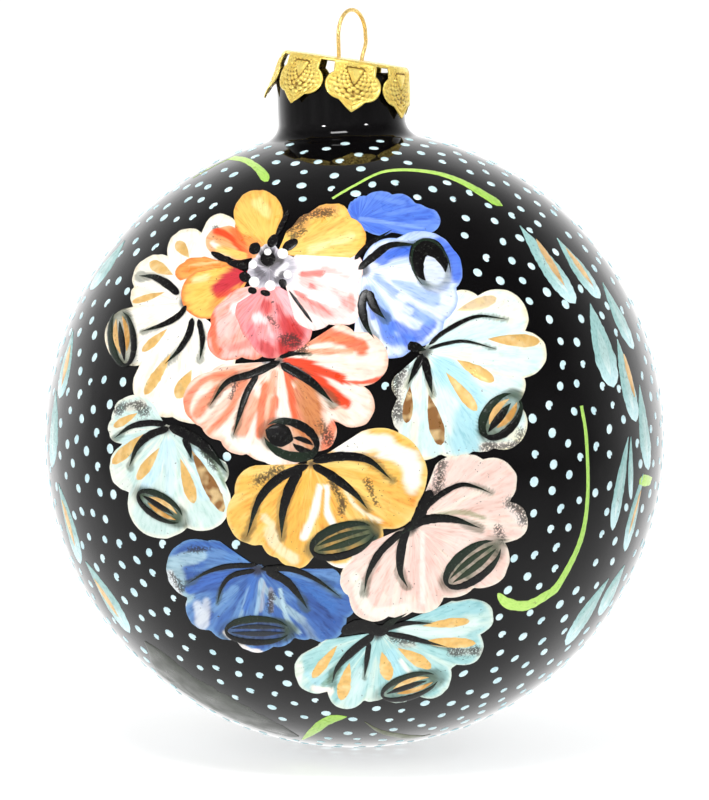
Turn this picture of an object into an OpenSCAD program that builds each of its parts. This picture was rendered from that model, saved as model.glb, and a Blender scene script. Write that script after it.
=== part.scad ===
// Hand-painted glass ball ornament with a pressed crown cap and a sprung wire hanger.
// It hangs from the top of its wire loop, which is the origin. +Z is up and the painted front faces -Y.
// All sizes are in millimetres and all angles in degrees.

/* [Ball] */
// Outside diameter of the ball
ball_d = 100; // [60:1:150]
// Thickness of the blown wall
ball_wall = 1.2; // [0.8:0.1:2.5]
// How far the ball leans towards -X as it hangs
ball_lean = 2.3; // [0:0.1:4]

/* [Neck] */
// Outside diameter of the neck
neck_d = 20.4; // [16:0.1:26]
// Thickness of the neck's wall
neck_wall = 1.4; // [1:0.1:2]
// Height of the rim over the ball's centre, as a share of the ball's radius
neck_reach = 1.168; // [1.12:0.002:1.3]
// Radius of the hollow round between the neck and the ball
neck_fillet = 3; // [0.5:0.1:4]

/* [Crown cap] */
// Diameter of the cap's flat top
cap_d = 20.6; // [18:0.1:28]
// Thickness of the pressed sheet
sheet = 0.35; // [0.2:0.05:0.6]
// Radius of the bend from the top down into the petals
cap_bend = 0.8; // [0.5:0.1:1.5]
// Number of petals
petals = 7; // [5:1:7]
// Length of a petal below the top
petal_l = 8.1; // [5:0.1:9]
// Width of a petal where it leaves the top
petal_root_w = 6.6; // [4:0.1:7]
// Width of a petal across its two side lobes
petal_w = 8.9; // [6:0.1:9]
// Outward slope of the petals
petal_slope = 9.5; // [4:0.5:20]
// Which petal is bent open, counted from the front one towards +X
open_petal = 5; // [0:1:6]
// Outward slope of the one petal that is bent open
open_petal_slope = 14; // [4:0.5:25]
// Turn of the first petal from the front
cap_turn = 10; // [-30:1:30]
// How far the cap sits down on its +X side
cap_tilt = 8.3; // [0:0.1:9]
// Height of the middle of the top over the rim
cap_lift = 2.6; // [2.4:0.1:4]
// Diameter of the two wire holes
wire_hole_d = 1.7; // [1.2:0.1:2.2]

/* [Wire hanger] */
// Diameter of the wire
wire_d = 0.65; // [0.5:0.05:0.9]
// Width of the loop, between the wire's centre lines
loop_w = 8.2; // [6:0.1:10]
// Distance between the two legs where they pass the cap
leg_gap = 6.9; // [5:0.1:8]
// Height of the loop's top over the cap
loop_h = 8.1; // [7:0.1:12]
// Turn of the loop about the upright, from facing the front
loop_turn = 58; // [0:1:90]
// Length of the straight legs below the cap
leg_straight = 4; // [3.5:0.1:6]
// Length of the sprung legs below their straight part
leg_sprung = 20; // [12:1:24]

/* [Hidden] */
$fn = 96;
ball_r = ball_d / 2;
neck_r = neck_d / 2;
bore_r = neck_r - neck_wall;
rim_h = ball_r * neck_reach;

// The hollow round touches the ball and the neck, so its centre is one fillet away from both.
fillet_r = neck_r + neck_fillet;
fillet_h = sqrt(pow(ball_r + neck_fillet, 2) - pow(fillet_r, 2));

// The cap's middle stands a little towards +X of the neck's own line, because the cap sits crooked.
cap_shift = 1.1;
cap_h = rim_h * cos(ball_lean) + cap_lift;
cap_x = cap_shift - cap_h * tan(ball_lean);

// The wire's own upright line, and the heights along it over the ball's centre.
wire_r = wire_d / 2;
wire_x = cap_x + 0.7;
loop_top_h = cap_h + loop_h;
loop_r = loop_w / 2;
loop_offset = 0.45;
kink_h = cap_h + 1.5;
kink_half_h = 0.9;
kink_bulge = 0.25;
left_bend_h = cap_h + 0.6;
straight_end_h = cap_h - leg_straight;
sprung_end_h = straight_end_h - leg_sprung;
toe_l = 2.5;
toe_in = 0.8;

// The loop's inner top is the hanging point.
arch_h = loop_top_h - wire_r - loop_r;
hang_h = loop_top_h - wire_d;
hang_x = wire_x + loop_offset * cos(loop_turn);
hang_y = loop_offset * sin(loop_turn);

// Where each leg may spring to inside the neck, measured along the loop's plane.
leg_u = leg_gap / 2;
left_spring_room = 0.65;
right_spring_room = 2.05;
left_spring_u = -(bore_r - wire_r - left_spring_room);
right_spring_u = bore_r - wire_r - right_spring_room;

// A petal's outline: a strap, two round side lobes, and a shoulder that narrows to a rounded tip.
lobe_r = petal_l * 0.26;
lobe_h = petal_l * 0.5;
shoulder_w = petal_w * 0.58;
shoulder_h = petal_l * 0.68;
tip_r = petal_l * 0.07;
petal_start = cap_d * 0.35;

// Puts what is built about the ball's centre into the hanging frame.
module hung() {
    translate([-hang_x, -hang_y, -hang_h]) children();
}

// Outline of the neck's outside, on the radius and height plane, down to the ball's centre.
module neck_outline() {
    lip_r = neck_wall / 2;
    difference() {
        polygon([[0, 0], [fillet_r, fillet_h], [neck_r, fillet_h], [neck_r, rim_h - lip_r], [0, rim_h - lip_r]]);
        translate([fillet_r, fillet_h]) circle(r = neck_fillet);
    }
    square([neck_r - lip_r, rim_h]);
    translate([neck_r - lip_r, rim_h - lip_r]) circle(r = lip_r);
}

// The blown ball and its neck, in one piece and open at the rim.
module ball_shell() {
    color("#1c1c1f") hung() rotate([0, -ball_lean, 0]) difference() {
        union() {
            sphere(r = ball_r);
            rotate_extrude() neck_outline();
        }
        sphere(r = ball_r - ball_wall);
        cylinder(r = bore_r, h = rim_h + 1);
    }
}

// Side view of the pressed sheet: flat top, bend, and a skirt that slopes outwards.
module sheet_outline(slope) {
    bend_x = cap_d / 2 - cap_bend;
    difference() {
        union() {
            translate([0, -sheet]) square([bend_x, sheet]);
            translate([bend_x, -cap_bend]) circle(r = cap_bend);
        }
        translate([bend_x, -cap_bend]) circle(r = cap_bend - sheet);
        translate([0, -2 * cap_bend - sheet]) square([bend_x, 2 * cap_bend]);
        translate([bend_x, -cap_bend]) rotate(slope) translate([-2 * cap_bend, -2 * cap_bend])
            square([4 * cap_bend, 2 * cap_bend]);
    }
    translate([bend_x, -cap_bend]) rotate(slope) translate([cap_bend - sheet, -petal_l])
        square([sheet, petal_l]);
}

// Front view of one petal: a strap, two side lobes and a rounded tip.
module petal_outline() {
    tip_h = petal_l - tip_r;
    translate([-petal_root_w / 2, -lobe_h]) square([petal_root_w, lobe_h + 1]);
    for (side = [-1, 1]) translate([side * (petal_w / 2 - lobe_r), -lobe_h]) circle(r = lobe_r);
    translate([0, -tip_h]) circle(r = tip_r);
    polygon([[-shoulder_w / 2, -lobe_h], [-shoulder_w / 2, -shoulder_h], [-tip_r, -tip_h],
        [tip_r, -tip_h], [shoulder_w / 2, -shoulder_h], [shoulder_w / 2, -lobe_h]]);
}

// One petal, hanging at the front of the cap.
module petal(slope) {
    intersection() {
        rotate_extrude() sheet_outline(slope);
        translate([0, -petal_start, 0]) rotate([90, 0, 0]) linear_extrude(cap_d / 2) petal_outline();
    }
}

// The pressed cap: a round top with two wire holes and a ring of petals.
module crown_cap() {
    color("#e8bf4e") hung() translate([cap_x, 0, cap_h]) rotate([0, cap_tilt, 0]) difference() {
        union() {
            translate([0, 0, -sheet]) cylinder(r = cap_d / 2 - cap_bend, h = sheet);
            for (i = [0 : petals - 1])
                rotate(cap_turn + i * 360 / petals) petal(i == open_petal ? open_petal_slope : petal_slope);
        }
        for (side = [-1, 1])
            translate([wire_x - cap_x, 0, 0]) rotate(loop_turn) translate([side * leg_u, 0, -sheet - 1])
                cylinder(d = wire_hole_d, h = sheet + 2);
    }
}

// A straight run of wire between two points of the loop's plane, each given as [across, height].
module run(from, to) {
    step = to - from;
    translate([from[0], 0, from[1]]) rotate([0, atan2(step[0], step[1]), 0]) cylinder(r = wire_r, h = norm(step));
}

// Joins a list of points with runs of wire, with a ball at each bend and at both ends.
module bent_wire(points) {
    bend_r = wire_r * 1.06;
    for (i = [1 : len(points) - 1]) run(points[i - 1], points[i]);
    for (point = points) translate([point[0], 0, point[1]]) sphere(r = bend_r);
}

// The round top of the loop.
module loop_arch() {
    translate([loop_offset, 0, arch_h]) rotate([90, 0, 0])
        rotate_extrude(angle = 180) translate([loop_r, 0]) circle(r = wire_r);
}

// The hanger: a loop whose two legs go down through the cap and spring out inside the neck.
module hanger_wire() {
    left_u = loop_offset - loop_r;
    right_u = loop_offset + loop_r;
    color("#d9a93c") hung() translate([wire_x, 0, 0]) rotate(loop_turn) {
        loop_arch();
        bent_wire([[left_u, arch_h], [-leg_u, left_bend_h], [-leg_u, straight_end_h],
            [left_spring_u, sprung_end_h], [left_spring_u + toe_in, sprung_end_h - toe_l]]);
        bent_wire([[right_u, arch_h], [right_u + kink_bulge, kink_h + kink_half_h], [leg_u, kink_h - kink_half_h],
            [leg_u, straight_end_h], [right_spring_u, sprung_end_h],
            [right_spring_u - toe_in, sprung_end_h - toe_l]]);
    }
}

ball_shell();
crown_cap();
hanger_wire();
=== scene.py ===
"""Looks of a hand-painted glass ball ornament with a pressed crown cap and a sprung wire hanger."""
import math

import bmesh
import bpy
import numpy as np
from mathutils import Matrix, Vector


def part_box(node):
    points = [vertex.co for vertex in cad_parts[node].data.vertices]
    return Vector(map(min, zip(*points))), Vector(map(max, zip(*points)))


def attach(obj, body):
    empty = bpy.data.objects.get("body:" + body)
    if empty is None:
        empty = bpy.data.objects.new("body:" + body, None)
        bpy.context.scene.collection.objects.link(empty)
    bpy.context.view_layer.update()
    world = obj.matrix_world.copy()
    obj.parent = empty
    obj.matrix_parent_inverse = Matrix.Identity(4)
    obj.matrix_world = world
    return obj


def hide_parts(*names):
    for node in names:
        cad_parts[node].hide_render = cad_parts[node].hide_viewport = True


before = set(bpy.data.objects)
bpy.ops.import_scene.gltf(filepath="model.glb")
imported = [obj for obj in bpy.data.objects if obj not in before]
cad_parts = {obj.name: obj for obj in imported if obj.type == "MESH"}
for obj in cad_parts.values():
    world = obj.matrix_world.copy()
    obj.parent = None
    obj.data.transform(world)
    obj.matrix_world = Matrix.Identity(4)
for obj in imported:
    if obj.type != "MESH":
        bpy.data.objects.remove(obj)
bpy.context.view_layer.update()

bl_info = {
    "name": "Painted Glass Ball Ornament",
    "version": (1, 0, 0),
    "blender": (4, 5, 0),
    "location": "3D View > Sidebar > Ornament",
    "description": "Builds the painted ball, its crown cap and its wire hanger round the packed frame",
    "category": "Add Mesh",
}

MM = 0.001

# The frame gives the ball's radius and centre, and every place below is in mm from that centre.
shell_low, shell_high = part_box("ball_shell")
BALL_R = (shell_high[0] - shell_low[0]) / 2 / MM
CENTRE = np.array([
    (shell_low[0] + shell_high[0]) / 2,
    (shell_low[1] + shell_high[1]) / 2,
    shell_low[2] + BALL_R * MM,
])

# The glaze lies a little inside the frame's ball, and the paint stands on it in thin layers.
GLAZE_R = BALL_R - 0.26
COAT = 0.013
FIRST_COAT = 0.035
STROKE_LIFT = 0.185

# The neck leans with the ball; the cap sits crooked on it; the wire stands upright.
LEAN = math.radians(2.3)
NECK_R = 10.2
BORE_R = 8.8
WALL = 1.2
RIM_H = 58.4
CAP_CENTRE = (-1.348, 0.0, 60.953)
CAP_TILT = math.radians(8.3)
WIRE_X = -0.648
LOOP_TURN = math.radians(58)
LEG_X = 3.45
HOLE_R = 0.85
PETALS = 7
OPEN_PETAL = 5
PETAL_SLOPE = 9.5
OPEN_SLOPE = 14
CAP_TURN = math.radians(10)

# The eye looks at the painted front from a little above, sees the ball's centre low in its view, and
# takes in VIEW_TALL mm of height at the ball.
EYE_DISTANCE = 650.0
SENSOR = 24
VIEW_TALL = 800 / 6.2
EYE_HEIGHT = math.radians(5.4)
AIM_ABOVE = 6.1
EYE_BACK = np.array([0.0, -math.cos(EYE_HEIGHT), math.sin(EYE_HEIGHT)])
EYE_UP = np.array([0.0, math.sin(EYE_HEIGHT), math.cos(EYE_HEIGHT)])
EYE = AIM_ABOVE * EYE_UP + EYE_DISTANCE * EYE_BACK

# The painting, laid out as it is seen from the front: every point is (right, up) in mm from the ball's
# centre. A lobe is (right, up, radius), and a flower's edge runs round its lobes as seen from the calyx.
# A wash is (colour, strength, width, path), a vein or a band of dust is (width, path), and a drop is
# (kind, width, pointed end, round end). A seed is (kind, centre, length, width, turn).
# The lists from here down to STEMS were not written by hand: a helper script printed them, from places
# picked by eye and rounded to 0.2 or 0.5 mm.

FLOWERS = [
    {
        "name": "cream_flower", "calyx": (-27.4, 22), "ground": "FDF8EC", "rim": "EEDFC0",
        "lobes": [
            (-21.6, 33.6, 2.8), (-26.8, 30.4, 3.6), (-31.8, 25.6, 4.2), (-33.4, 22.8, 3),
            (-35.8, 16.4, 4.8), (-30.8, 8.4, 5.2), (-26, 7.6, 5.4), (-24, 13.2, 4.8),
        ],
        "washes": [
            ("FBEFE9", 0.6, 3.7, [(-28.5, 9.5), (-32, 5)]),
            ("F4EEDC", 0.5, 1.5, [(-33.5, 28), (-26, 32)]),
        ],
        "dust": [
            (1.5, [(-37, 28), (-39, 23)]), (1.5, [(-22.5, 34), (-20.5, 31)]),
        ],
        "veins": [
            (1.4, [(-28.4, 23.2), (-30.2, 24.8), (-32.4, 26), (-34.8, 26.2)]),
            (1, [(-27.2, 21.4), (-28.4, 19.8), (-30.8, 18.4), (-34.4, 17.2)]),
            (1.1, [(-26.2, 19.4), (-26.8, 16.8), (-28.4, 14.2), (-30.6, 12)]),
            (1, [(-25.2, 19.2), (-24.6, 16), (-25, 12.6)]),
        ],
        "drops": [
            ("gold", 1.9, (-26.8, 29.2), (-28.8, 31.8)), ("gold", 2, (-29.4, 26.4), (-33.2, 28.4)),
            ("gold", 1.2, (-30.8, 23.6), (-36, 22)), ("gold", 1.5, (-30.4, 17.6), (-34.4, 14)),
            ("gold", 1.9, (-29.8, 13.6), (-34, 7)), ("gold", 2.3, (-26.4, 11), (-28.8, 6.4)),
        ],
        "seed": ("striped", (-37.6, 16.2), 10.4, 4.3, 97),
    },
    {
        "name": "mint_flower", "calyx": (-30.4, 1.4), "ground": "CFE8E2", "rim": "F2F1DE",
        "lobes": [
            (-35.6, 3.2, 3.8), (-37.6, 1.4, 2.4), (-35.6, -4.8, 4.2), (-31.2, -10.8, 5.6),
            (-24.8, -10.4, 4.8), (-23.2, -5.6, 2.8),
        ],
        "washes": [
            ("C6E8F4", 0.95, 2, [(-30, -1), (-32.5, -5.5), (-34.5, -8.5)]),
            ("D3EDF2", 0.8, 1.3, [(-29.5, -2), (-30, -9)]),
            ("CDEBF3", 0.9, 2, [(-26, -2.5), (-24.5, -6.5), (-24.5, -9)]),
            ("E9F0E6", 0.8, 2.2, [(-38.5, -5.5), (-37, -8)]),
            ("D9D4C4", 0.8, 1.7, [(-36.5, 5), (-34.5, 5.5)]),
            ("5A7A50", 0.75, 0.8, [(-24.5, -2), (-22.5, -4.5), (-21, -7.5)]),
            ("CFE9EE", 0.7, 1.1, [(-36.5, 0), (-38, -2.5)]),
        ],
        "dust": [
            (2, [(-38.5, 4.5), (-36, 5.5), (-34, 4.5)]), (1.3, [(-24.5, -2), (-22.5, -5)]),
        ],
        "veins": [
            (1.1, [(-30.4, 2.2), (-33.2, 2.4), (-36.2, 1.8), (-38.8, 0)]),
            (1.3, [(-30, 1.6), (-33.2, 0.4), (-35.2, -1.6), (-36.4, -4.6)]),
            (1.8, [(-30, 1.8), (-27.2, 0.6), (-23.8, -1.8), (-20.6, -5.6)]),
            (1.1, [(-27.6, 0), (-26.8, -1.8), (-26.4, -3.4)]),
        ],
        "drops": [
            ("gold", 1.4, (-35.2, 4), (-39, 1.8)), ("gold", 2, (-34.2, 0.6), (-39.2, -4.2)),
            ("gold", 1.8, (-31.6, -1.6), (-35.2, -6.8)), ("gold", 2.1, (-28.2, -3.4), (-26, -10.6)),
            ("bronze", 2.4, (-26.4, -2), (-21.2, -12)),
        ],
        "seed": ("striped", (-31.4, -11.2), 9.6, 3.9, -32),
    },
    {
        "name": "blue_upper_petal", "calyx": (0.6, 35.2), "ground": "4A72D8", "rim": "6A8EE2",
        "lobes": [
            (4.2, 36.4, 3.6), (10, 35.2, 2.8), (12, 35.2, 2), (1.6, 36.4, 2.8), (7.2, 36.4, 3.2),
        ],
        "washes": [
            ("4A70D6", 0.7, 1.5, [(2.5, 37.5), (7, 37)]), ("8FB0F0", 0.5, 0.7, [(1, 35.5), (11, 34)]),
            ("6E94E6", 0.6, 1, [(3.5, 39), (8, 38)]),
        ],
    },
    {
        "name": "aqua_flower", "calyx": (11.2, 14), "ground": "DCF0EC", "rim": "F0E6C0",
        "lobes": [
            (23.2, 19.2, 5), (17.6, 20, 4), (27.4, 13.6, 3.8), (24.2, 13.2, 4.2), (24.2, 8.4, 3.6),
            (24, 2.2, 4.2), (20.4, 1.6, 4), (16.4, 1, 4.4), (11.2, 0.4, 4), (9.6, 3.8, 3.6),
            (8.6, 8.4, 2.6),
        ],
        "washes": [
            ("CDEFF2", 0.9, 2.6, [(14.5, 16), (21, 17.5), (24, 18)]),
            ("D5F2EE", 0.8, 2.4, [(20, 13.5), (25.5, 12), (29.5, 12)]),
            ("A6DAE4", 0.95, 4.5, [(14.5, 11.5), (19, 6), (17.5, -1)]),
            ("FBF6E2", 0.9, 2.6, [(16, 20.5), (22, 22), (26.5, 20)]),
            ("C9EAF0", 0.8, 2.6, [(22, 7.5), (25.5, 6.5)]), ("CFEDEA", 0.8, 2.4, [(10, 5.5), (13, -2)]),
            ("D9D7CE", 0.9, 1.9, [(8, 10), (7, 5.5), (7, 2.5)]),
            ("FBFAEE", 0.7, 1.5, [(16, 20.5), (22, 23)]), ("F3E9DC", 0.9, 1.3, [(21, -1.5), (26, -1)]),
        ],
        "dust": [
            (2.6, [(7.5, 11.5), (6.5, 7.5), (7, 4)]), (2.2, [(21.5, -1.5), (26, -1), (27, 1)]),
            (1.3, [(9, 13.5), (8, 12)]),
        ],
        "veins": [
            (0.8, [(12, 15), (14.6, 17.2), (19.6, 19.6), (24.6, 19.2)]),
            (0.6, [(12, 14.4), (14.6, 15.2), (18, 15.6), (22.8, 14.4)]),
            (1.2, [(11, 13.6), (9.8, 11), (8.6, 8.6)]), (1.3, [(11.2, 13.2), (12, 9.8), (12.6, 7)]),
            (1.7, [(8.6, 15), (11.6, 14.2)]),
        ],
        "drops": [
            ("pale", 2.1, (16.6, 20.6), (23, 22.6)), ("gold", 2.3, (21.6, 16), (30, 15.6)),
            ("gold", 2.2, (16.6, 12.6), (22.6, 9.2)), ("gold", 1.9, (14.8, 10.6), (19.8, 4.4)),
            ("bronze", 2.5, (12, 7), (14, -1.2)), ("bronze", 1.8, (9, 8.4), (8.4, 2.4)),
        ],
        "seed": ("striped", (23.8, 3.6), 9.6, 5.6, 52),
    },
    {
        "name": "blue_white_flower", "calyx": (1.4, 27), "ground": "DDE8FF", "rim": "7F9FEA",
        "lobes": [
            (6, 27.6, 4.8), (10.8, 27.6, 6), (13.4, 27.2, 4.2), (12, 22.8, 4.8), (10, 19.6, 4.8),
            (6, 17.6, 4.8), (4, 17, 4.2), (2.4, 22.8, 3.2),
        ],
        "washes": [
            ("3A6AD8", 0.9, 2.7, [(4.5, 29), (6.5, 30), (11, 30.5)]),
            ("2F5ED0", 0.8, 1.5, [(5.5, 29.5), (9, 30.5)]),
            ("3F6AD8", 0.95, 2.2, [(13, 31.5), (16, 29.5), (16.5, 26)]),
            ("7FA4EE", 0.85, 2.2, [(2.5, 24), (4.5, 21), (6, 17.5)]),
            ("4A74DC", 0.9, 2.7, [(4.5, 19.5), (6, 16.5), (9, 15.5)]),
            ("3D68D6", 0.85, 2.2, [(6.5, 18), (10, 16.5), (12.5, 18.5)]),
            ("86A8EE", 0.75, 2, [(7, 25.5), (10.5, 23.5), (13, 22.5)]),
            ("6E94E6", 0.8, 2, [(8.5, 21), (12, 19)]), ("A9C2F4", 0.7, 2, [(8.5, 32.5), (12, 32.5)]),
            ("F8FAFF", 0.9, 1.5, [(6, 26.5), (10, 26)]), ("5F88E4", 0.7, 1.2, [(3.5, 26), (6.5, 23.5)]),
            ("DCE6FB", 0.8, 1.2, [(6.5, 22), (9, 20.5)]),
            ("3A66D0", 0.8, 1.2, [(2.5, 22.5), (3, 19.5)]),
        ],
        "veins": [
            (1.3, [(0.6, 27.2), (3.2, 29.4), (6, 31.2), (10.6, 31.2)]),
            (0.8, [(0, 28.8), (2.2, 31.2), (6, 33.6)]),
            (1.5, [(2, 24), (1.2, 21.6), (1.8, 18.4), (3.2, 16)]),
            (1.5, [(2.2, 23.8), (3.2, 21.2), (5, 19.2)]),
        ],
        "seed": ("bell", (12.4, 27.8), 9, 5.9, 112),
    },
    {
        "name": "coral_flower", "calyx": (-12.2, 12.4), "ground": "FCE9DA", "rim": "F3B79A",
        "lobes": [
            (-23.2, 6, 4.6), (-20.6, 8.8, 3.2), (-21.8, 2.8, 3.2), (-18.6, 0.4, 3.2), (-15, -0.6, 3.2),
            (-11.6, -0.6, 4.4), (-6, 1, 3.2), (-8.4, 4, 3.8), (-0.2, 5.2, 3.6), (1.2, 12.8, 4.4),
            (-2.4, 15.2, 3.2),
        ],
        "washes": [
            ("F3A383", 0.85, 3.5, [(-22, 9.5), (-16.5, 10.5)]),
            ("EE7F58", 0.9, 2.1, [(-22.5, 7.5), (-25.5, 4)]),
            ("FFF6EA", 0.95, 2.1, [(-20.5, 1), (-16.5, -2), (-13, -3.5)]),
            ("E98A62", 0.85, 2.6, [(-16.5, 6), (-18.5, 1.5)]),
            ("F4A27C", 0.85, 2.4, [(-14, 8.5), (-14.5, 1.5)]),
            ("E8693C", 0.9, 1.7, [(-13, 6), (-13.5, 1)]),
            ("D9764A", 0.9, 2.1, [(-9, 7.5), (-8.5, 1.5)]),
            ("FBE8DC", 0.9, 1.4, [(-12, 4), (-12, -0.5)]),
            ("F2764E", 0.85, 1.5, [(-19.5, 10.5), (-24, 9.5), (-27, 6.5), (-27, 3.5), (-26, 1.5)]),
            ("F8B49A", 0.7, 1.2, [(-18.5, 8.5), (-22.5, 4), (-25, 1.5)]),
            ("EF7A50", 0.9, 1.5, [(-18, 9), (-20, 5), (-23.5, 1)]),
            ("F5A488", 0.7, 1, [(-16.5, 7.5), (-17.5, 4)]),
            ("EE6A3C", 0.95, 1.4, [(-14.5, 8.5), (-15, 4.5), (-15.5, 0.5)]),
            ("F4906C", 0.8, 1.4, [(-13, 10.5), (-13.5, 7.5)]),
            ("EE5F34", 1, 1.2, [(-11, 11), (-10.5, 7.5), (-9.5, 2)]),
            ("C97C4A", 1, 3.5, [(-8.5, 10), (-7, 6.5), (-6, 2)]),
            ("EF7C58", 0.95, 1.9, [(-3.5, 2), (-4.5, -1.5)]),
            ("D98A5E", 0.8, 1.4, [(-9, 2.5), (-7, -2)]),
            ("E2401C", 1, 1.5, [(-11, 12.5), (-7, 11.5), (-2, 9.5)]),
            ("E04A26", 0.95, 0.7, [(-2, 9), (2, 9), (5, 10)]),
            ("E2401C", 1, 2, [(-9.5, 10.5), (-5.5, 9), (-1.5, 5.5)]),
            ("F2A088", 0.6, 0.7, [(-4.5, 4.5), (-1.5, 5)]),
            ("EB6A42", 0.95, 2.6, [(-8.5, 17), (-5, 17), (-1.5, 16), (1, 14.5)]),
            ("F7D9C8", 0.9, 1.2, [(2, 16.5), (4.5, 14.5)]),
            ("EE7A4E", 0.9, 1.4, [(-9, 15), (-5, 16), (-0.5, 16)]),
            ("F2966E", 0.85, 1, [(-9, 14), (-5, 14), (-0.5, 14)]),
            ("F9CDBB", 0.6, 1.2, [(2, 10.5), (4.5, 10.5)]),
            ("9AA0B4", 0.7, 1.4, [(-16, 13.5), (-13.5, 12.5)]),
        ],
        "dust": [
            (2.8, [(-6, 19), (-7.5, 17), (-8.5, 14.5)]), (1.9, [(-16.5, 14.5), (-14.5, 13)]),
            (2.1, [(-5.5, 2.5), (-4, -0.5)]), (1.4, [(-19, 9.5), (-20, 6.5)]),
        ],
        "veins": [
            (1.3, [(-12, 12.4), (-16.4, 10.4), (-20.6, 9), (-23.4, 5.2)]),
            (1.1, [(-15.6, 10.4), (-17.6, 6.8), (-19.6, 0.4)]),
            (1.6, [(-12, 12), (-7.2, 9.2), (-3.4, 5.6)]),
            (0.7, [(-12.2, 13), (-9.8, 13.6), (-7.2, 13.6)]),
        ],
        "seed": ("dark_orange", (-10.4, -0.2), 10.4, 6.2, 160),
    },
    {
        "name": "blue_flower", "calyx": (-15.4, -21.2), "ground": "3863AB", "rim": "638FC1",
        "lobes": [
            (-25.8, -21.2, 4.8), (-23, -20.2, 3.6), (-23.8, -27.6, 3.6), (-20.6, -29.6, 3.2),
            (-15.8, -30.8, 4), (-12.4, -30.8, 3.2), (-8.2, -29.6, 3.2), (-4.8, -29.6, 3.6),
            (-2.8, -26, 3.6), (-4.4, -23.2, 2.2), (-18.4, -24.6, 4),
        ],
        "washes": [
            ("9CBDC8", 0.9, 3.1, [(-29.5, -21), (-29, -24), (-27, -26)]),
            ("E6EAEC", 0.9, 1.2, [(-30, -22), (-29, -24.5), (-27.5, -27)]),
            ("C7CDD6", 0.75, 1.9, [(-24, -26.5), (-24.5, -29)]),
            ("8FB2CC", 0.8, 0.8, [(-17, -24), (-18.5, -29)]),
            ("A6C4CC", 0.7, 1.2, [(-15, -24), (-12.5, -26.5), (-8.5, -29.5)]),
            ("A9B0BC", 0.7, 1.2, [(-15, -23.5), (-15, -27.5)]),
            ("25488F", 0.85, 2.5, [(-7, -26), (-4, -27.5)]),
            ("2A509A", 0.8, 1.9, [(-24.5, -24.5), (-20, -23)]),
            ("D6DEE8", 0.9, 2.3, [(-25.5, -27), (-24.5, -30)]),
            ("A5C9D9", 0.8, 1.9, [(-29, -20), (-24.5, -19)]),
            ("3766B2", 0.9, 1.4, [(-26.5, -17.5), (-22.5, -17.5), (-19.5, -18)]),
            ("3562B6", 1, 1.9, [(-26.5, -24.5), (-24, -23), (-20.5, -22.5)]),
            ("729FD0", 0.7, 1.6, [(-22.5, -27.5), (-19.5, -24.5)]),
            ("3668BA", 0.9, 1.6, [(-16.5, -23), (-17.5, -27.5)]),
            ("98BED9", 0.8, 0.7, [(-15, -23), (-16, -28.5)]),
            ("9A9AA8", 0.8, 0.8, [(-13.5, -24.5), (-13.5, -28)]),
            ("B0D0DD", 0.9, 0.7, [(-12, -24.5), (-11, -29), (-9, -31.5)]),
            ("3467B2", 0.9, 1.9, [(-11.5, -22.5), (-7, -24.5), (-3.5, -27.5)]),
            ("7E96AE", 0.7, 1.2, [(-8.5, -29.5), (-6.5, -32.5)]),
            ("294F85", 0.8, 1.2, [(-5.5, -22.5), (-3.5, -23.5)]),
            ("F0E9E6", 1, 0.8, [(-21, -31.5), (-18.5, -33.5), (-15, -35)]),
            ("5184C3", 0.8, 1.6, [(-20.5, -19.5), (-17.5, -19.5)]),
        ],
        "dust": [
            (1.6, [(-13.5, -25.5), (-13.5, -28)]), (1.4, [(-29.5, -22), (-28, -24.5)]),
            (1.4, [(-26.5, -18), (-23.5, -18)]),
        ],
        "veins": [
            (0.9, [(-15.8, -20.6), (-20.6, -20.8), (-24, -21.8), (-27, -23.6)]),
            (0.9, [(-16, -21.4), (-19.6, -22.2), (-21.4, -24), (-22.2, -26.8)]),
            (1.4, [(-14.4, -21.4), (-11, -23.2), (-8.8, -25.8), (-7.6, -27.6)]),
            (1, [(-15.2, -21.2), (-10.4, -21.2), (-6.4, -22.8), (-2.4, -25.6)]),
        ],
        "seed": ("grey", (-15.6, -31.2), 12, 4.4, 0),
    },
    {
        "name": "yellow_flower", "calyx": (-7, -4.2), "ground": "F5B64E", "rim": "F9D07C",
        "lobes": [
            (4, -6.2, 7.8), (6, -10.4, 4.4), (1.6, -16, 3.2), (-1.8, -17.2, 4), (-5.6, -15.2, 4.2),
            (-9.6, -18, 3.2), (-12, -16.4, 3.2), (-16, -12.6, 4.8), (-15.4, -8.4, 4),
        ],
        "washes": [
            ("FFF9EC", 1, 3.5, [(-2, -1.5), (4, -1), (9, -4.5), (9.5, -7)]),
            ("F8D27A", 0.8, 1.4, [(-4.5, -3.5), (1.5, -5)]),
            ("FBCB68", 0.7, 2.1, [(-2, -6), (5, -10.5)]),
            ("F9B244", 0.9, 2.1, [(-8, -6.5), (-10, -12), (-10.5, -17.5)]),
            ("F8B84E", 0.8, 1.4, [(-13, -8), (-15.5, -15)]),
            ("F9E3B4", 0.9, 1.9, [(-14, -15), (-12, -18), (-10, -19.5)]),
            ("FFF8EA", 1, 1.4, [(-5.5, -8), (-6.5, -12), (-8, -16)]),
            ("FFF8EA", 1, 1.1, [(-4.5, -8), (-4.5, -11.5), (-3.5, -14)]),
            ("F2A83A", 0.9, 0.7, [(-5, -8.5), (-5.5, -14.5)]),
            ("FBE9C4", 0.9, 0.7, [(-1.5, -8.5), (0.5, -11.5), (4, -13.5)]),
            ("A58A4A", 0.55, 1.4, [(-15.5, -6.5), (-13.5, -6)]),
            ("8C7038", 0.5, 0.8, [(-3.5, -7.5), (-2, -11.5)]),
            ("FFFBF0", 1, 1.4, [(-6.5, -20), (-2.5, -21), (2.5, -18.5)]),
            ("F6B24A", 0.9, 1.9, [(3.5, -15.5), (2.5, -18)]),
            ("FBE7BE", 0.7, 1.4, [(-14.5, -13), (-13.5, -14)]),
        ],
        "dust": [
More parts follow.
